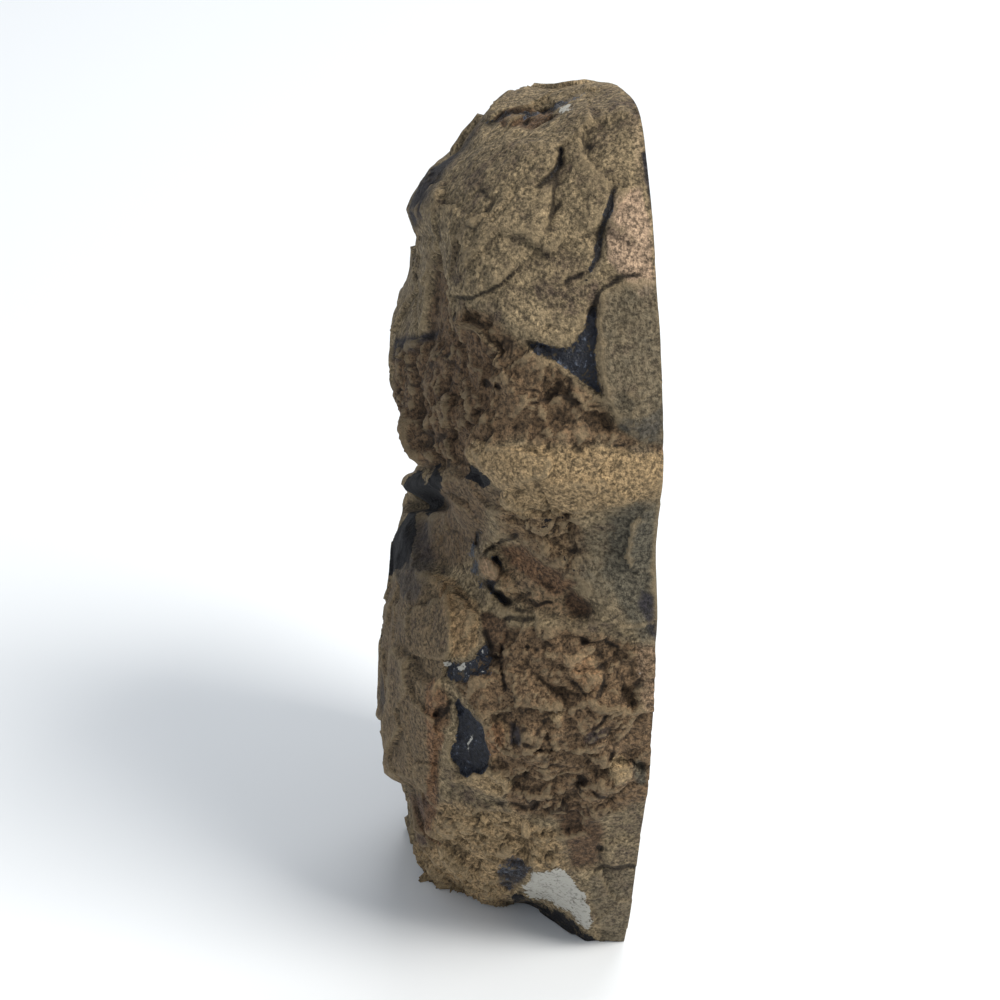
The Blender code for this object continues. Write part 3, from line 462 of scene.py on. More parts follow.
# The rind's colour. Its noises: size, detail and roughness of specks, mottle, clouds and flecks.
RIND_NOISES = ((0.42, 2.0, 0.7), (1.6, 5.0, 0.7), (8.0, 4.0, 0.6), (0.55, 3.0, 0.75))
GRAIN_SIZE = 0.42
SKIN_TONE = (0.6, 0.4)                 # shares of mottle and clouds in the skin's tone
SKIN_STOPS = (0.37, 0.50, 0.63)        # tones of the dark, the plain and the light skin
STAIN_NOISE = (1.6, 0.9, 0.5)          # how far mottle, clouds and specks break up a stain
STAIN_LEVEL = -0.38
STAIN_EDGE = {1: 0.12, 2: 0.95}
GRIT_SHADE = {1: 0.38, 2: 0.62, 3: 0.42, 4: 1.50}
GRAIN_SHADE = {1: 0.55, 2: 0.75}       # a grain's number times the first plus the second
FLECK_DIRT = {1: 0.60, 2: 0.68, 3: 0.0, 4: 0.55}
# darkening in hollows: dirt and painted shade
HOLLOW_DIRT_AND_SHADE = {1: 0.02, 2: 0.40, 3: 0.0, 4: 0.52}
# lightening on crests: wear and painted highlight
CREST_WEAR_AND_HIGHLIGHT = {1: -0.04, 2: -0.30, 3: 0.0, 4: 0.50}
BARE_NOISE = (1.3, 1.0)                # how far mottle and specks fray the edge of bare stone
BARE_LEVEL = -1.15
BARE_EDGE = {1: 0.42, 2: 0.54}
GLINT_NOISE = (0.4, 0.6)               # shares of mottle and specks in the glints of bare stone
# dark, light and glint tones of bare chalcedony; the glints are painted highlights mixed with
# blue-grey flecks
GLASSY_STOPS = (0.40, 0.58, 0.67)
SUGARY_STOPS = (0.36, 0.50)
CRACK_SPECK = 0.3                      # how far specks fray a crack's dirt and painted shade
# darkening of cracks, crevices and pits: dirt and painted shade
CRACK_DIRT_AND_SHADE = {1: 0.38, 2: 0.95, 3: 0.0, 4: 0.78}

# The surfaces: the rind's, the polished face's and the floor's. Agate's IOR is 1.54.
RIND_ROUGHNESS = {2: 0.88, 3: 0.34}    # of skin and of bare chalcedony
RIND_BUMP = (0.05, 0.35, 0.9)          # shares of grains, specks and mottle in its height
BUMP_STRENGTH = {2: 0.9, 3: 0.3}       # on skin and on quartz
BUMP_DEPTH = 0.9
DULL_SKIN = {"IOR": 1.54, "Specular IOR Level": 0.3}
POLISH = {"Roughness": 0.08, "IOR": 1.54, "Coat Weight": 0.5, "Coat Roughness": 0.03}
MATT = {"Roughness": 0.6}

# The sawn face's fortification: direction in degrees from +Y towards +Z, reach of that side.
FORTRESS = [(8, 25), (52, 33), (95, 45), (140, 36), (178, 26), (222, 33), (262, 44), (305, 36)]
FORTRESS_MIDDLE = (0.0, 0.0, 50.0)
FORTRESS_CORNERS = 0.05                      # how round its corners are
FORTRESS_WARP = [(22.0, 11.0), (5.0, 1.8)]   # size of its waves and how far they push
WARP_DETAIL = 2.0
OUTER_ZONE = (9.0, 0.98)                     # its width, and its place among the bands
BANDS = [(0.00, "#4b4642"), (0.16, "#6f6a66"), (0.24, "#d9d2c6"), (0.27, "#3b4152"),
         (0.33, "#27304a"), (0.40, "#8fa0b4"), (0.44, "#e4ded2"), (0.47, "#a8642c"),
         (0.52, "#6e3a1c"), (0.57, "#c9965a"), (0.61, "#efe6d6"), (0.65, "#7d8fa6"),
         (0.71, "#2c3a58"), (0.77, "#9aa9b8"), (0.82, "#cfd3d2"), (0.87, "#55637a"),
         (0.92, "#1d2638"), (0.97, "#3c4a45")]
FINE_BANDS = 26.0                            # number of fine lines across the bands
FINE_NOISE = {"Scale": 1.0, "Detail": 5.0, "Roughness": 0.75}
FINE_TINT = {1: 0.3, 2: 0.7, 3: 0.55, 4: 1.35}
CRUST_WAVES = 4.0                            # size of the waves of its inner edge
CRUST_REACH = 3.0                            # and how far they push it
CRUST_EDGE = {1: 4.2, 2: 3.2}
CRUST_GRIT = 1.2
CRUST_DETAIL = 4.0
CRUST_STOPS = (0.35, 0.6)

# Soft studio lights: name, place in m, width, height, power in W, colour.
LIGHTS = [
    ("key", (0.50, -0.42, 0.75), 0.45, 0.45, 10.0, "#fffaf2"),
    ("fill", (-0.70, -0.60, 0.45), 0.7, 0.7, 1.2, "#eef3ff"),
    ("back", (0.35, 0.70, 0.70), 0.7, 0.5, 4.0, "#ffffff"),
]
LIGHT_AIM = (0.0, 0.0, 0.05)
WORLD_COLOR = "#eef2f6"
WORLD_STRENGTH = 0.55
SENSOR = 36.0            # width in mm
PICTURE = 1000.0         # width in pixels
FOCAL_PIXELS = 2367.0    # focal length in the picture's pixels
CLIPPING = (0.01, 20.0)


def linear(code):
    """An sRGB hex colour as linear RGBA."""
    parts = [int(code[k:k + 2], 16) / 255.0 for k in (1, 3, 5)]
    return tuple(c / 12.92 if c <= 0.04045 else ((c + 0.055) / 1.055)**2.4 for c in parts) + (1.0,)


def smooth(low, high, value):
    """0 below low and 1 above high, with a smooth step between them."""
    t = np.clip((value - low) / (high - low), 0.0, 1.0)
    return t * t * (3.0 - 2.0 * t)


def profile(height, knots):
    """Smooth curve through the knots that never overshoots them.

    It is a cubic between two knots. Its slope at a knot is the harmonic mean of the slopes on
    either side, and 0 where these have different signs.
    """
    z, v = np.array(knots, float).T
    step, slope = np.diff(z), np.diff(v) / np.diff(z)
    before, after = slope[:-1], slope[1:]
    total = np.where(before + after == 0.0, 1.0, before + after)
    inner = np.where(before * after > 0.0, 2.0 * before * after / total, 0.0)
    tangent = np.concatenate([slope[:1], inner, slope[-1:]])
    i = np.clip(np.searchsorted(z, height) - 1, 0, len(z) - 2)
    t = np.clip((height - z[i]) / step[i], 0.0, 1.0)
    ends = v[i] * (1 + 2 * t) * (1 - t)**2 + v[i + 1] * t * t * (3 - 2 * t)
    return ends + step[i] * (tangent[i] * t * (1 - t)**2 - tangent[i + 1] * t * t * (1 - t))


def section(angle, height, inset):
    """Half a superellipse behind the face's plane, and a shallow one past it, flattened later."""
    left, front, back = (profile(height, side) for side in (LEFT_SIDE, FRONT_SIDE, BACK_SIDE))
    c, s = (np.sign(w) * np.abs(w)**(2.0 / SECTION_POWER) for w in (np.cos(angle), np.sin(angle)))
    middle, half = (front + back) / 2, (back - front) / 2
    x = FACE_X + np.where(c < 0.0, c * (FACE_X - left - inset), c * FACE_BULGE)
    return x, middle + s * (half - inset), middle


def column_angles(share):
    """Angles round the section at shares of the way round it, with a weight for each side."""
    angle = np.linspace(-math.pi, math.pi, ANGLE_SAMPLES)
    x, y, _ = section(angle, np.full(angle.shape, HEIGHT / 2), 0.0)
    between = (angle[1:] + angle[:-1]) / 2
    front, left, back, face = COLUMN_WEIGHTS
    weight = np.where(np.abs(between) < math.pi / 2, face, np.where(between < 0.0, front, back))
    weight = np.where(np.abs(between) > LEFT_COLUMNS_FROM, left, weight)
    way = np.concatenate([[0.0], np.cumsum(np.hypot(np.diff(x), np.diff(y)) * weight)])
    return np.interp(share * way[-1], way, angle)


def meridian(share):
    """Height, inset and shrink from the foot (share 0) up the side and round the top's fillet."""
    low, high = CAP_SHARES
    straight = HEIGHT - TOP_FILLET + FOOT_DEPTH
    way = np.clip((share - low) / (high - low), 0.0, 1.0) * (straight + TOP_FILLET * math.pi / 2)
    turn = np.clip((way - straight) / TOP_FILLET, 0.0, math.pi / 2)
    shrink = np.clip(np.minimum(share / low, (1.0 - share) / (1.0 - high)), 0.0, 1.0)
    dome = np.where(share > high, TOP_DOME * (1.0 - shrink**2), 0.0)
    height = np.minimum(way, straight) - FOOT_DEPTH + TOP_FILLET * np.sin(turn) + dome
    return height, TOP_FILLET * (1.0 - np.cos(turn)), shrink


def stone_form(around, along):
    """The stone's smooth form, a surface of two shares from 0 to 1.

    The share around gives the angle of a point on the section, half a superellipse behind the sawn
    face. The share along gives its height, from the foot to the top, where the section shrinks to a
    point. The toe is then set back, the top ridge is raised and the flats are cut, each with a
    rounded edge.
    """
    z, inset, shrink = meridian(along)
    x, y, middle = section(column_angles(around), z, inset)
    hub = FACE_X - TOP_HUB_INSET
    x, y = hub + shrink * (x - hub), middle + shrink * (y - middle)
    fade = (1.0 - np.clip(z / TOE_TOP, 0.0, 1.0))**TOE_FADE
    room = np.clip((middle - y) / TOE_ROOM, 0.0, 1.0)
    y = y + TOE_RECESS * smooth(-TOE_SPAN[1], -TOE_SPAN[0], -x) * fade * room
    ridge = smooth(*TOP_RIDGE_SPAN, x)
    lift = ridge * (TOP_RIDGE_SLOPE * y + TOP_LIFT[1]) + (1.0 - ridge) * TOP_LIFT[0]
    points = np.stack([x, y, z + smooth(TOP_RISE_FROM, HEIGHT, z) * lift], axis=-1)
    for point, facing, edge in FLATS:
        normal = np.array(facing) / np.linalg.norm(facing)
        points = points - rounded_past((points - point) @ normal, edge)[:, None] * normal
    return points


def rounded_past(past, edge):
    """How far to draw back what lies past a plane: all of it, but a parabola near the plane."""
    near = (past + edge)**2 / (4 * edge)
    return np.where(past > edge, past, np.where(past < -edge, 0.0, near))


def view_axes(drawing):
    """Right, up and towards-the-viewer directions of a drawing."""
    azimuth, elevation = np.radians(drawing[:2])
    across, level = np.sin(azimuth), np.cos(azimuth)
    toward = np.array([across * np.cos(elevation), -level * np.cos(elevation), np.sin(elevation)])
    right = np.array([level, across, 0.0])
    return right, np.cross(toward, right), toward


def draw(points, drawing):
    """Places of points in a drawing, in perspective, and the unit way from each to the viewer."""
    right, up, toward = view_axes(drawing)
    distance, aim, place = drawing[2:]
    away = points - (np.array(aim) + distance * toward)
    scale = distance / -(away @ toward)
    sight = -away / np.linalg.norm(away, axis=1, keepdims=True)
    return place[0] + scale * (away @ right), place[1] + scale * (away @ up), sight


def line_distance(u, v, path, closed):
    """Distance from the nearest of a path's straight pieces.

    Where the path is closed, it is below 0 inside, where a level line to the right crosses it an
    odd number of times.
    """
    start = np.array(path, float)
    end = np.roll(start, -1, axis=0)
    if not closed:
        start, end = start[:-1], end[:-1]
    run = end - start
    du, dv = u[:, None] - start[:, 0], v[:, None] - start[:, 1]
    t = np.clip((du * run[:, 0] + dv * run[:, 1]) / (run**2).sum(axis=1), 0.0, 1.0)
    gap = np.hypot(du - t * run[:, 0], dv - t * run[:, 1]).min(axis=1)
    if not closed:
        return gap
    spans = (start[:, 1] > v[:, None]) != (end[:, 1] > v[:, None])
    crossing = start[:, 0] + dv * run[:, 0] / np.where(run[:, 1] == 0.0, 1.0, run[:, 1])
    inside = (spans & (u[:, None] < crossing)).sum(axis=1) % 2 == 1
    return np.where(inside, -gap, gap)


def scatter(cell, seed):
    """A fixed pseudo-random number from -1 to 1 for each whole-number cell."""
    x, y, z = (cell[..., k].astype(np.int64) * HASH_AXES[k] for k in range(3))
    mixed = x ^ y ^ z ^ (seed * HASH_SEED)
    mixed = ((mixed & LOW_32) * HASH_START[0] + HASH_START[1]) & LOW_32
    for shift, factor in HASH_ROUNDS:
        mixed = ((mixed ^ (mixed >> shift)) * factor) & LOW_32
    return ((mixed ^ (mixed >> HASH_LAST)) & LOW_24) / HALF_24 - 1.0


def lumps(points, size, seed):
    """Smooth noise from -1 to 1: numbers on a lattice of this size, blended between its corners."""
    place = points / np.array(size)
    cell = np.floor(place)
    t = place - cell
    t = t * t * (3.0 - 2.0 * t)
    total = np.zeros(len(points))
    for corner in np.ndindex(2, 2, 2):
        weight = np.prod(np.where(corner, t, 1.0 - t), axis=1)
        total += weight * scatter(cell + corner, seed)
    return total


def flakes(points, size, tilt, seed):
    """Broken facets: a point takes the height of its nearest seed's plane, level plus tilt."""
    place = points / size
    cell = np.floor(place)
    best = np.full(len(points), np.inf)
    height = np.zeros(len(points))
    for step in np.ndindex(3, 3, 3):
        near = cell + np.array(step) - 1
        spread, lean = (np.stack([scatter(near, seed + first + k) for k in range(3)], axis=-1)
                        for first in (0, 3))
        offset = place - (near + 0.5 + SEED_STRAY * spread)
        gap = (offset**2).sum(axis=1)
        level = scatter(near, seed + 6) + (offset * lean).sum(axis=1) * tilt * size
        height = np.where(gap < best, level, height)
        best = np.minimum(gap, best)
    return height


def ledges(points, size, levels, seed):
    """Broken ledges: smooth noise cut into level steps with steep edges."""
    rise = levels * lumps(points, size, seed)
    return (np.floor(rise) + smooth(0.0, LEDGE_RISER, rise - np.floor(rise))) / levels


def crevices(points, size, width, seed):
    """Wandering lines, a bell curve of noise near 0, in the places that broader noise picks."""
    strength, finer = CREVICE_DETAIL
    coarser, edge = CREVICE_PLACES
    crossing = lumps(points, size, seed) + strength * lumps(points, size / finer, seed + 1)
    present = smooth(-edge, edge, lumps(points, size * coarser, seed + 2))
    return np.exp(-(crossing / width)**2) * present


def layered(noise, points, layers):
    """Height of several layers of one noise: the sum of each layer's height times its noise."""
    return sum(height * noise(points, size, *rest) for size, height, *rest in layers)


def mark(finishes, name, strength):
    """Raise a finish to the given strength wherever it is below it."""
    finishes[name] = np.maximum(finishes[name], strength)


def wandered(points):
    """The points pushed about by noise, so that drawn outlines come out ragged."""
    for size, reach, seed in WANDER:
        push = np.stack([lumps(points, size, seed + k) for k in range(3)], axis=-1)
        points = points + reach * push
    return points


def edge_inset(points, normals):
    """The left edge's ledges: stone side-on to the front drawing moves level with the drawing."""
    right = view_axes(FRONT)[0]
    u, v, sight = draw(points, FRONT)
    rows = np.arange(np.floor(v.min()), v.max() + EDGE_ROW, EDGE_ROW)
    edge = [u[np.abs(v - row) < EDGE_ROW].min() for row in rows]
    facing = (normals * sight).sum(axis=1)
    side = smooth(*EDGE_FACING[0], facing) * (1.0 - smooth(*EDGE_FACING[1], facing))
    side = side * smooth(*EDGE_LEFTWARD, -(normals @ right))
    side = side * (1.0 - smooth(*EDGE_REACH, u - np.interp(v, rows, edge)))
    height, inset = np.array(EDGE, float)[::-1].T
    return (side * np.interp(v, height, inset))[:, None] * right


def seen_in(drawing, points, normals):
    """Places of points in a drawing, the way to its viewer, and how far it moves and marks them.

    The side and back drawings are bent by noise, and the back one is used where the front one
    can't see.
    """
    u, v, sight = draw(points, drawing)
    facing = (normals * sight).sum(axis=1)
    share = 1.0
    for reach, size, seed_u, seed_v in () if drawing is FRONT else BENDS:
        u = u + reach * lumps(points, size, seed_u)
        v = v + reach * lumps(points, size, seed_v)
    if drawing is BACK:
        share = 1.0 - smooth(*HIDDEN_FADE, (normals * draw(points, FRONT)[2]).sum(axis=1))
    return u, v, sight, share * smooth(*FACING_FADE, facing), share * smooth(*MARK_FADE, facing)


def patch_relief(views, finishes):
    """How the patches move the stone towards or away from their viewer. Marks their finishes."""
    move = 0.0
    for drawing, patches in PATCHES.items():
        u, v, sight, facing, marking = views[drawing]
        for outline, rise, edge, marks in patches:
            inside = smooth(-edge, edge, -line_distance(u, v, outline, True))
            move = move + (rise * inside * facing)[:, None] * sight
            for name, strength in marks.items():
                mark(finishes, name, strength * inside * marking)
    return move


def crack_relief(points, views, finishes):
    """How the cracks are sunk, as bell-shaped grooves that widen, narrow and fade along their way.

    Some carry a film of dark chalcedony.
    """
    move = 0.0
    width_noise, film_noise, fade_noise = (lumps(points, size, seed) for size, seed in CRACK_NOISE)
    kept = CRACK_LEAST + (1.0 - CRACK_LEAST) * smooth(*CRACK_FADE, fade_noise)
    for drawing, cracks in CRACKS.items():
        u, v, sight, facing, _ = views[drawing]
        for path, depth, half_width, *films in cracks:
            gap = line_distance(u, v, path, False)
            width = half_width * (1.0 + CRACK_WIDTH_NOISE * width_noise)
            groove = np.exp(-(gap / width)**2) * (facing * kept)
            move = move - (depth * groove)[:, None] * sight
            mark(finishes, "crack", groove)
            for film in films:
                patchy = (FILM_STRENGTH + FILM_NOISE * film_noise) * np.exp(-(gap / film)**2)
                mark(finishes, "chalcedony", patchy * facing)
    return move


def pit_relief(views, finishes):
    """How the pits are sunk, as steep-sided bowls."""
    move = 0.0
    for drawing, pits in PITS.items():
        u, v, sight, facing, _ = views[drawing]
        for middle, radius, depth in pits:
            bowl = np.exp(-(np.hypot(u - middle[0], v - middle[1]) / radius)**4) * facing
            move = move - (depth * bowl)[:, None] * sight
            mark(finishes, "crack", bowl)
    return move


def drawn_relief(points, normals, finishes):
    """The moves of the drawn relief: the left edge's ledges, then the patches, cracks and pits."""
    inset = edge_inset(points, normals)
    points = points + inset
    ragged = wandered(points)
    views = {drawing: seen_in(drawing, ragged, normals) for drawing in (FRONT, LEFT, BACK)}
    move = inset + patch_relief(views, finishes)
    return move + crack_relief(points, views, finishes) + pit_relief(views, finishes)


def wild_finishes(points, normals, finishes):
    """Mark the finishes of the hidden sides, where broad noise is high enough."""
    sight = draw(points, FRONT)[2]
    away = 1.0 - smooth(*WILD_FADE, (normals * sight).sum(axis=1))
    strength, finer, next_seed = WILD_DETAIL
    for name, size, level, top, seed in WILD_FINISHES:
        frayed = strength * lumps(points, size / finer, seed + next_seed)
        field = lumps(points, size, seed) + frayed
        inside = smooth(level + WILD_EDGE[0], level + WILD_EDGE[1], field)
        mark(finishes, name, top * away * inside)


def crumbled(points, finishes):
    """Height of crumbled stone: grit, tilted flakes and ledges, and crevices marked as cracks."""
    ragged = wandered(points)
    height = layered(lumps, points, CRUMB_LUMPS)
    height = height + layered(flakes, ragged * np.array(CRUMB_STRETCH), CRUMB_FLAKES)
    height = height + layered(ledges, ragged, CRUMB_LEDGES)
    for size, deep, width, seed in CREVICES:
        line = crevices(ragged, size, width, seed) * smooth(*CREVICE_CRUMB, finishes["crumb"])
        height = height - deep * line
        mark(finishes, "crack", CREVICE_DIRT_AND_SHADE * line)
    return height


def rim_share(points):
    """Share of the relief that is kept near the sawn rim."""
    least, near, far = RIM_CALM
    return least + (1.0 - least) * smooth(near, far, FACE_X - points[:, 0])


def broad_swell(points):
    """Height of the rind's broad lumps and wide flakes."""
    return (layered(lumps, points, LUMPS) + layered(flakes, points, FLAKES)) * rim_share(points)


def fine_swell(points, finishes):
    """Height of the rind's fine texture: sandy skin, crumble and fibres, smoother where glassy."""
    height = layered(lumps, points, SKIN_LUMPS)
    height = height + finishes["crumb"] * crumbled(points, finishes)
    height = height + finishes["grain"] * layered(lumps, points, FIBRES)
    glassy = np.clip(np.maximum(finishes["chalcedony"], finishes["calm"]), 0.0, 1.0)
    return height * (1.0 - GLASSY_CALM * glassy) * rim_share(points)


def blurred(field, passes):
    """A grid of values averaged with its neighbours, 1 to 2 to 1, and closed round the columns."""
    for _ in range(passes):
        field = (np.roll(field, 1, axis=1) + 2.0 * field + np.roll(field, -1, axis=1)) / 4.0
        padded = np.pad(field, ((1, 1), (0, 0)), mode="edge")
        field = (padded[:-2] + 2.0 * field + padded[2:]) / 4.0
    return field


def face_plane(points):
    """Points pressed flat to the sawn face, to the ground and to the top's height.

    Below the ground they first draw in towards the foot's hub.
    """
    hub = np.array(FOOT_HUB)
    under = np.clip(-points[:, 2:] / FOOT_DEPTH, 0.0, 1.0)
    draw_in = 1.0 - FOOT_DRAW_IN * under**FOOT_DRAW_POWER
    around = hub + (points[:, :2] - hub) * draw_in
    x = around[:, 0] - rounded_past(around[:, 0] - FACE_X, RIM_SOFTNESS)
    z = points[:, 2] - rounded_past(points[:, 2] - TOP_LIMIT[0], TOP_LIMIT[1])
    return np.stack([x, around[:, 1], np.maximum(z, 0.0)], axis=-1)


def grid_faces(rows, columns):
    """Quads of a closed band of rows, and a fan of triangles at each pole."""
    r, c = np.meshgrid(np.arange(rows - 1), np.arange(columns), indexing="ij")
    near, far = r * columns + c, r * columns + (c + 1) % columns
    quads = np.stack([near, far, far + columns, near + columns], axis=-1).reshape(-1, 4)
    c = np.arange(columns)
    foot, top = rows * columns, rows * columns + 1
    last = (rows - 1) * columns
    lower = np.stack([np.full(columns, foot), (c + 1) % columns, c], axis=-1)
    upper = np.stack([np.full(columns, top), last + c, last + (c + 1) % columns], axis=-1)
    return quads, np.concatenate([lower, upper])


def write_attribute(mesh, name, values):
    """Store one number for each vertex, for the materials to read."""
    attribute = mesh.attributes.new(name, "FLOAT", "POINT")
    attribute.data.foreach_set("value", values.astype(np.float32))


def read_normals(mesh):
    """A mesh's vertex normals as an array."""
    flat = np.empty(len(mesh.vertices) * 3, np.float32)
    mesh.vertex_normals.foreach_get("vector", flat)
    return flat.reshape(-1, 3).astype(float)


def rim_distance(points, rows, columns):
    """Distance of each point of the sawn face from the face's outline, in the face's plane."""
    angle = column_angles(np.arange(columns) / columns)
    front = np.argmin(np.abs(angle + math.pi / 2))
    back = np.argmin(np.abs(angle - math.pi / 2))
    grid = points[:rows * columns].reshape(rows, columns, 3)
    outline = np.concatenate([grid[::OUTLINE_STEP, front, 1:], grid[::-OUTLINE_STEP, back, 1:]])
    distance = np.zeros(len(points))
    flat = points[:, 0] > FACE_X - FACE_REACH
    distance[flat] = line_distance(points[flat, 1], points[flat, 2], outline, True)
    return np.maximum(-distance, 0.0)


def hollowness(depth, rows, columns):
    """How far each point lies below the average of its surroundings, near and further off."""
    field = depth[:rows * columns].reshape(rows, columns)
    near, far = (blurred(field, passes) for passes in HOLLOW_BLURS)
    return np.append((0.5 * (near + far) - field).ravel(), [0.0, 0.0])


def stone_mesh(settings):
    """The stone: a grid of columns round it and rows up it, pressed flat at the face and the foot.

    Its points are the form's, moved along its normals by the rind's height and along each drawing's
    line of sight by the drawn relief.
    """
    columns, rows = settings.columns, settings.rows
    around = np.append(np.tile(np.arange(columns) / columns, rows), [0.0, 0.0])
    along = np.linspace(0.0, 1.0, rows + 2)[1:-1]
    form = stone_form(around, np.append(np.repeat(along, columns), [0.0, 1.0]))
    quads, caps = grid_faces(rows, columns)
    mesh = bpy.data.meshes.new("agate_stone")
    mesh.from_pydata(form.tolist(), [], quads.tolist() + caps.tolist())
    normals = read_normals(mesh)
    finishes = {name: np.zeros(len(form)) for name in FINISHES}
    swollen = (broad_swell(form) * settings.relief)[:, None] * normals
    move = swollen + drawn_relief(form + swollen, normals, finishes)
    wild_finishes(form, normals, finishes)
    move = move + (fine_swell(form, finishes) * settings.relief)[:, None] * normals
    finishes["pit"] = hollowness((move * normals).sum(axis=1), rows, columns)
    points = face_plane(form + move)
    finishes["rim"] = rim_distance(points, rows, columns)
    for name, values in finishes.items():
        write_attribute(mesh, name, values)
    place = (points - np.array(MIDDLE)) * MM
    mesh.vertices.foreach_set("co", place.ravel().astype(np.float32))
    flat = points[:, 0] > FACE_X - FACE_SLACK
    on_face = np.concatenate([flat[quads].all(axis=1), flat[caps].all(axis=1)])
    mesh.polygons.foreach_set("material_index", on_face.astype(np.int32))
    mesh.polygons.foreach_set("use_smooth", np.ones(len(mesh.polygons), bool))
    mesh.update()
    return mesh


def plug(tree, node, inputs):
    """Give a node's inputs their values or links."""
    for key, value in inputs.items():
        if isinstance(value, bpy.types.NodeSocket):
            tree.links.new(value, node.inputs[key])
        else:
            node.inputs[key].default_value = value


def add(tree, kind, inputs, output=0, stops=(), **settings):
    """Add a node with its settings, inputs and colour stops. Gives one of its outputs."""
    made = tree.nodes.new(kind)
    for name, value in settings.items():
        setattr(made, name, value)
    plug(tree, made, inputs)
    for place, _ in stops[1:-1]:
        made.color_ramp.elements.new(place)
    for element, (place, color) in zip(made.color_ramp.elements if stops else (), stops):
        element.position = place
        element.color = color
    return made.outputs[output]


def new_material(name):
    """An empty node material with its shader."""
    material = bpy.data.materials.new(name)
    material.use_nodes = True
    return material, material.node_tree, material.node_tree.nodes["Principled BSDF"]


def sized(vector, size, **inputs):
    """The inputs of a pattern whose waves or cells are this many millimetres wide."""
    return {"Vector": vector, "Scale": 1.0 / (size * MM), **inputs}


def rind_noises(tree, vector):
    """The rind's noises: sandy specks, mottle, clouds and flecks of dirt, each from 0 to 1."""
    return [add(tree, NOISE, sized(vector, size, Detail=detail, Roughness=rough))
            for size, detail, rough in RIND_NOISES]


def stained_skin(tree, settings, marks, speck, mottle, cloud):
    """Sandy skin with its stains, each broken up by the noises."""
    broad = add(tree, MATH, {0: cloud, 1: SKIN_TONE[1]}, **TIMES)
    tone = add(tree, MATH, {0: mottle, 1: SKIN_TONE[0], 2: broad}, **TIMES_PLUS)
    skins = (settings.skin_dark, settings.skin, settings.skin_light)
    color = add(tree, RAMP, {0: tone}, stops=list(zip(SKIN_STOPS, skins)))
    broad = add(tree, MATH, {0: cloud, 1: STAIN_NOISE[1]}, **TIMES)
    broken = add(tree, MATH, {0: mottle, 1: STAIN_NOISE[0], 2: broad}, **TIMES_PLUS)
    for name in STAINS:
        patchy = add(tree, MATH, {0: marks[name], 1: broken, 2: STAIN_LEVEL}, **TIMES_PLUS)
        patchy = add(tree, MATH, {0: speck, 1: STAIN_NOISE[2], 2: patchy}, **TIMES_PLUS)
        share = add(tree, STEP, {0: patchy, **STAIN_EDGE}, **SOFT)
        color = add(tree, MIX, {0: share, 6: color, 7: getattr(settings, name)}, **COLORS)
    return color


def grit_dirt_and_painted_light(tree, settings, marks, speck, fleck, grain, color):
    """Grit, dirt flecks, dirt and painted shade in hollows, and wear and painted highlights on
    crests, over the rind's colour.
    """
    grit = add(tree, STEP, {0: speck, **GRIT_SHADE})
    shade = add(tree, MATH, {0: grain, **GRAIN_SHADE}, **TIMES_PLUS)
    shade = add(tree, MATH, {0: grit, 1: shade}, **TIMES)
    color = add(tree, MIX, {0: 1.0, 6: color, 7: shade}, **TINTED)
    for value, step, tint in ((fleck, FLECK_DIRT, settings.crack),
                              (marks["pit"], HOLLOW_DIRT_AND_SHADE, settings.crack),
                              (marks["pit"], CREST_WEAR_AND_HIGHLIGHT, settings.skin_light)):
        share = add(tree, STEP, {0: value, **step}, **SOFT)
        color = add(tree, MIX, {0: share, 6: color, 7: tint}, **COLORS)
    return color


def bare_stone(tree, settings, marks, speck, mottle, color):
    """Dark film (also the foot's painted contact shadow), bare chalcedony and quartz laid over the
    skin, then the cracks' dirt and painted shade.

    Their edges are frayed by the noises. Also gives the shares of bare chalcedony and of quartz.
    """
    ragged = add(tree, MATH, {0: mottle, 1: BARE_NOISE[0], 2: BARE_LEVEL}, **TIMES_PLUS)
    ragged = add(tree, MATH, {0: speck, 1: BARE_NOISE[1], 2: ragged}, **TIMES_PLUS)
    glint = add(tree, MATH, {0: mottle, 1: GLINT_NOISE[0]}, **TIMES)
    glint = add(tree, MATH, {0: speck, 1: GLINT_NOISE[1], 2: glint}, **TIMES_PLUS)
    glasses = (settings.chalcedony, settings.chalcedony_light, settings.chalcedony_glint)
    glassy = add(tree, RAMP, {0: glint}, stops=list(zip(GLASSY_STOPS, glasses)))
    sugars = (settings.quartz_dark, settings.quartz)
    sugary = add(tree, RAMP, {0: glint}, stops=list(zip(SUGARY_STOPS, sugars)))
    shares = {}
    for name, tint in (("jet_and_painted_shadow", settings.jet_and_painted_shadow), ("chalcedony", glassy), ("quartz", sugary)):
        edge = add(tree, MATH, {0: marks[name], 1: ragged}, operation="ADD")
        shares[name] = add(tree, STEP, {0: edge, **BARE_EDGE}, **SOFT)
        color = add(tree, MIX, {0: shares[name], 6: color, 7: tint}, **COLORS)
    line = add(tree, MATH, {0: speck, 1: CRACK_SPECK, 2: marks["crack"]}, **TIMES_PLUS)
    line = add(tree, STEP, {0: line, **CRACK_DIRT_AND_SHADE}, **SOFT)
    color = add(tree, MIX, {0: line, 6: color, 7: settings.crack}, **COLORS)
    return color, shares["chalcedony"], shares["quartz"]


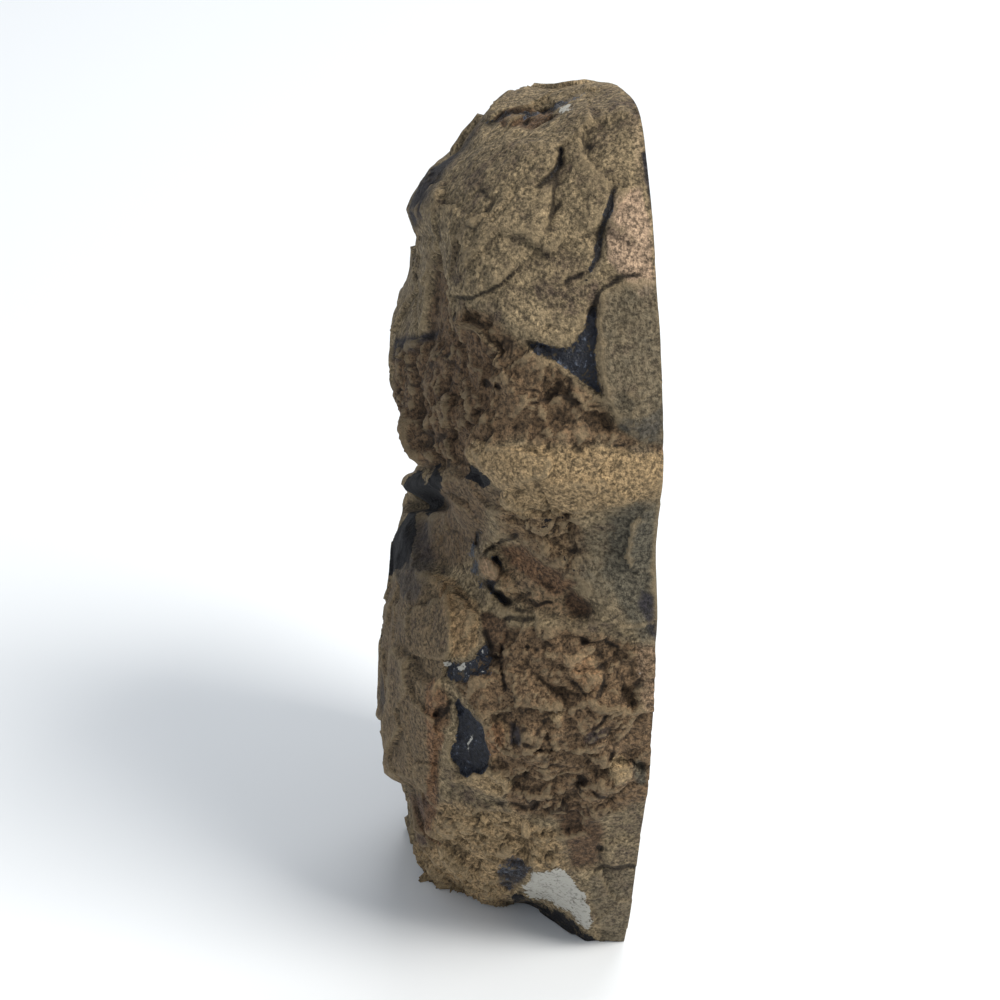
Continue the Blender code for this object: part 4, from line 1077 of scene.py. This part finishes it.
def weathered_rind(settings):
    """Weathered agate rind: sandy chalcedony skin, iron stain, dark films and bare chalcedony, with
    painted shade, shadows and highlights.

    Its dull gritty skin scatters light and hides the stone's depth, and only the bare chalcedony
    has a shine.
    """
    material, tree, shader = new_material("weathered_agate_rind")
    vector = add(tree, "ShaderNodeTexCoord", {}, "Object")
    speck, mottle, cloud, fleck = rind_noises(tree, vector)
    cells = add(tree, "ShaderNodeTexVoronoi", sized(vector, GRAIN_SIZE), "Color")
    grain = add(tree, "ShaderNodeSeparateColor", {0: cells})
    marks = {name: add(tree, MARK, {}, "Fac", attribute_name=name) for name in FINISHES + ("pit",)}
    color = stained_skin(tree, settings, marks, speck, mottle, cloud)
    color = grit_dirt_and_painted_light(tree, settings, marks, speck, fleck, grain, color)
    color, glass, quartz = bare_stone(tree, settings, marks, speck, mottle, color)
    dull = add(tree, MIX, {0: glass, **RIND_ROUGHNESS}, **NUMBERS)
    rough = add(tree, MATH, {0: grain, 1: RIND_BUMP[0]}, **TIMES)
    rough = add(tree, MATH, {0: speck, 1: RIND_BUMP[1], 2: rough}, **TIMES_PLUS)
    rough = add(tree, MATH, {0: mottle, 1: RIND_BUMP[2], 2: rough}, **TIMES_PLUS)
    strength = add(tree, MIX, {0: quartz, **BUMP_STRENGTH}, **NUMBERS)
    bumps = {"Height": rough, "Distance": BUMP_DEPTH * MM, "Strength": strength}
    bump = add(tree, "ShaderNodeBump", bumps)
    plug(tree, shader, {"Base Color": color, "Roughness": dull, "Normal": bump, **DULL_SKIN})
    return material


def fortress_reach(tree, vector):
    """How far out a point lies, from the fortification's middle (0) to its outermost band (1).

    It is the greatest share of the way to any of its sides, with rounded corners.
    """
    place = vector
    for size, push in FORTRESS_WARP:
        warp = add(tree, NOISE, sized(vector, size, Detail=WARP_DETAIL), "Color")
        warp = add(tree, VECTOR, {0: warp, 1: (0.5, 0.5, 0.5)}, **MINUS)
        sideways = (0.0, push * MM, push * MM)
        place = add(tree, VECTOR, {0: warp, 1: sideways, 2: place}, **TIMES_PLUS)
    place = add(tree, VECTOR, {0: place, 1: tuple(k * MM for k in FORTRESS_MIDDLE)}, **MINUS)
    reach = 0.0
    for degrees, side in FORTRESS:
        turn = math.radians(degrees)
        way = (0.0, math.cos(turn) / (side * MM), math.sin(turn) / (side * MM))
        out = add(tree, VECTOR, {0: place, 1: way}, "Value", operation="DOT_PRODUCT")
        reach = add(tree, MATH, {0: reach, 1: out, 2: FORTRESS_CORNERS}, operation="SMOOTH_MAX")
    return reach


def polished_bands(settings):
    """Polished banded agate: fortification bands round a smoky core, inside a thin crust.

    The polish gives it a clear, even shine, under which the bands look deep and sharp.
    """
    material, tree, shader = new_material("polished_banded_agate")
    vector = add(tree, "ShaderNodeTexCoord", {}, "Object")
    rim = add(tree, MARK, {}, "Fac", attribute_name="rim")
    edge = add(tree, STEP, {0: rim, 1: OUTER_ZONE[0], 2: 0.0}, **SOFT)
    reach = fortress_reach(tree, vector)
    reach = add(tree, MIX, {0: edge, 2: reach, 3: OUTER_ZONE[1]}, **NUMBERS)
    color = add(tree, RAMP, {0: reach}, stops=[(share, linear(code)) for share, code in BANDS])
    spread = add(tree, MATH, {0: reach, 1: FINE_BANDS}, **TIMES)
    line = add(tree, NOISE, {"W": spread, **FINE_NOISE}, noise_dimensions="1D")
    tint = add(tree, STEP, {0: line, **FINE_TINT})
    color = add(tree, MIX, {0: 1.0, 6: color, 7: tint}, **TINTED)
    ragged = add(tree, NOISE, sized(vector, CRUST_WAVES, Detail=CRUST_DETAIL))
    ragged = add(tree, MATH, {0: ragged, 1: CRUST_REACH, 2: rim}, **TIMES_PLUS)
    crust = add(tree, STEP, {0: ragged, **CRUST_EDGE}, **SOFT)
    grit = add(tree, NOISE, sized(vector, CRUST_GRIT, Detail=CRUST_DETAIL))
    grits = (settings.umber_and_painted_shade, settings.skin)
    matrix = add(tree, RAMP, {0: grit}, stops=list(zip(CRUST_STOPS, grits)))
    color = add(tree, MIX, {0: crust, 6: color, 7: matrix}, **COLORS)
    plug(tree, shader, {"Base Color": color, **POLISH})
    return material


def pale_laminate(settings):
    """Matt pale laminate: an even bright ground that takes a soft shadow but no reflection."""
    material, tree, shader = new_material("pale_matt_laminate")
    plug(tree, shader, {"Base Color": settings.floor_color, **MATT})
    return material


def color_property(name, code, words):
    """A colour that a user may change."""
    return bpy.props.FloatVectorProperty(
        name=name, description=words, default=linear(code), subtype="COLOR", size=4,
        min=0.0, max=1.0)


class AgateSettings(bpy.types.PropertyGroup):
    """Sizes and colours of the stone and its stage."""
    columns: bpy.props.IntProperty(
        name="Columns", description="Points round the stone", default=247, min=64, max=400)
    rows: bpy.props.IntProperty(
        name="Rows", description="Points up the stone", default=400, min=64, max=500)
    relief: bpy.props.FloatProperty(
        name="Relief", description="How strongly the rind is lumped and flaked", default=1.0,
        min=0.0, max=2.0)
    skin: color_property("Skin", "#75674f", "Sandy skin")
    skin_dark: color_property("Dark skin", "#54473a", "Sandy skin where it is darkest")
    # this colour also lightens crests: wear and painted highlight
    skin_light: color_property("Light skin", "#8d7c60", "Sandy skin where it is lightest")
    tan: color_property("Tan", "#8a7556", "Bright sandy ledges")
    crumb: color_property("Crumb", "#66523c", "Broken crumbly stone")
    # Besides iron stain and the crust's grit, this colour paints the shade in the hollow and a
    # shadow beside the toe.
    umber_and_painted_shade: color_property("Umber", "#54412f", "Iron stain on broken stone")
    ochre: color_property("Ochre", "#785a40", "Rusty stain")
    pink: color_property("Pink", "#96806a", "Pinkish skin")
    olive: color_property("Olive", "#4e493d", "Grey-green film")
    # Besides real dark films, this colour paints the contact shadow along the foot and deepens the
    # painted shade in the hollow.
    jet_and_painted_shadow: color_property("Jet", "#0c0c11", "Matt blue-black film")
    plum: color_property("Plum", "#2c292c", "Dark film")
    quartz: color_property("Quartz", "#a3a199", "Pale crystalline quartz")
    quartz_dark: color_property("Dark quartz", "#6c6a64", "Crystalline quartz where it is darkest")
    chalcedony: color_property("Chalcedony", "#0d0f15", "Blue-black glassy breaks")
    chalcedony_light: color_property("Light chalcedony", "#1d212c", "Glassy breaks in the light")
    # Painted glints, mixed with the stone's own blue-grey flecks.
    chalcedony_glint: color_property("Glint", "#5a6270", "Blue-grey flecks in the glassy breaks")
    # This colour darkens dirt flecks, and cracks, pits and hollows with dirt and painted shade.
    crack: color_property("Crack", "#15100c", "Dirt in cracks and pits")
    floor_color: color_property("Floor", "#e6eaee", "The floor")
    floor_half: bpy.props.FloatProperty(
        name="Floor reach", description="How far the floor reaches each way", default=3.0,
        min=0.5, max=20.0, subtype="DISTANCE", unit="LENGTH")


class AGATE_OT_stone(bpy.types.Operator):
    """Make the stone with its rind and its polished face"""
    bl_idname = "agate.stone"
    bl_label = "Agate stone"

    def execute(self, context):
        settings = context.scene.agate_settings
        mesh = stone_mesh(settings)
        mesh.materials.append(weathered_rind(settings))
        mesh.materials.append(polished_bands(settings))
        stone = bpy.data.objects.new("agate_stone", mesh)
        context.scene.collection.objects.link(stone)
        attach(stone, "root")
        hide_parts("agate")
        return {"FINISHED"}


class AGATE_OT_stage(bpy.types.Operator):
    """Make the pale floor, the soft lights and the camera"""
    bl_idname = "agate.stage"
    bl_label = "Agate stage"

    def execute(self, context):
        make_floor(context, context.scene.agate_settings)
        make_lights(context)
        make_camera(context)
        return {"FINISHED"}


class AGATE_PT_panel(bpy.types.Panel):
    """Lists the pieces and their settings"""
    bl_label = "Polished Agate"
    bl_idname = "AGATE_PT_panel"
    bl_space_type = "VIEW_3D"
    bl_region_type = "UI"
    bl_category = "Agate"

    def draw(self, context):
        self.layout.operator("agate.stone")
        self.layout.operator("agate.stage")
        for name in AgateSettings.__annotations__:
            self.layout.prop(context.scene.agate_settings, name)


CLASSES = (AgateSettings, AGATE_OT_stone, AGATE_OT_stage, AGATE_PT_panel)


def make_floor(context, settings):
    """A wide flat floor under the stone."""
    half = settings.floor_half
    corners = [(-half, -half, 0), (half, -half, 0), (half, half, 0), (-half, half, 0)]
    mesh = bpy.data.meshes.new("floor")
    mesh.from_pydata(corners, [], [(0, 1, 2, 3)])
    mesh.materials.append(pale_laminate(settings))
    floor = bpy.data.objects.new("floor", mesh)
    context.scene.collection.objects.link(floor)


def make_lights(context):
    """Wide area lights aimed at the stone, in a pale surround."""
    for name, place, width, height, power, code in LIGHTS:
        lamp = bpy.data.lights.new(name, "AREA")
        lamp.shape = "RECTANGLE"
        lamp.size, lamp.size_y = width, height
        lamp.energy = power
        lamp.color = linear(code)[:3]
        light = bpy.data.objects.new(name, lamp)
        light.location = place
        aim = Vector(LIGHT_AIM) - Vector(place)
        light.rotation_euler = aim.to_track_quat("-Z", "Y").to_euler()
        context.scene.collection.objects.link(light)
    world = bpy.data.worlds.new("studio")
    world.use_nodes = True
    plug(world.node_tree, world.node_tree.nodes["Background"],
         {"Color": linear(WORLD_COLOR), "Strength": WORLD_STRENGTH})
    context.scene.world = world
    context.scene.view_settings.view_transform = "Standard"


def make_camera(context):
    """The camera stands where the front drawing is seen from."""
    right, up, toward = (Vector(axis) for axis in view_axes(FRONT))
    aim = Vector(FRONT[3]) - Vector(MIDDLE)
    data = bpy.data.cameras.new("camera")
    data.sensor_width = SENSOR
    data.lens = FOCAL_PIXELS * SENSOR / PICTURE
    data.clip_start, data.clip_end = CLIPPING
    camera = bpy.data.objects.new("camera", data)
    turn = Matrix((right, up, toward)).transposed().to_4x4()
    camera.matrix_world = Matrix.Translation((aim + toward * FRONT[2]) * MM) @ turn
    context.scene.collection.objects.link(camera)
    context.scene.camera = camera


def register():
    """Add the classes and the settings to Blender."""
    for item in CLASSES:
        bpy.utils.register_class(item)
    bpy.types.Scene.agate_settings = bpy.props.PointerProperty(type=AgateSettings)


def unregister():
    """Take the classes and the settings out again."""
    del bpy.types.Scene.agate_settings
    for item in reversed(CLASSES):
        bpy.utils.unregister_class(item)


def main():
    """Make every piece."""
    register()
    bpy.ops.agate.stone()
    bpy.ops.agate.stage()


if __name__ == "__main__":
    main()
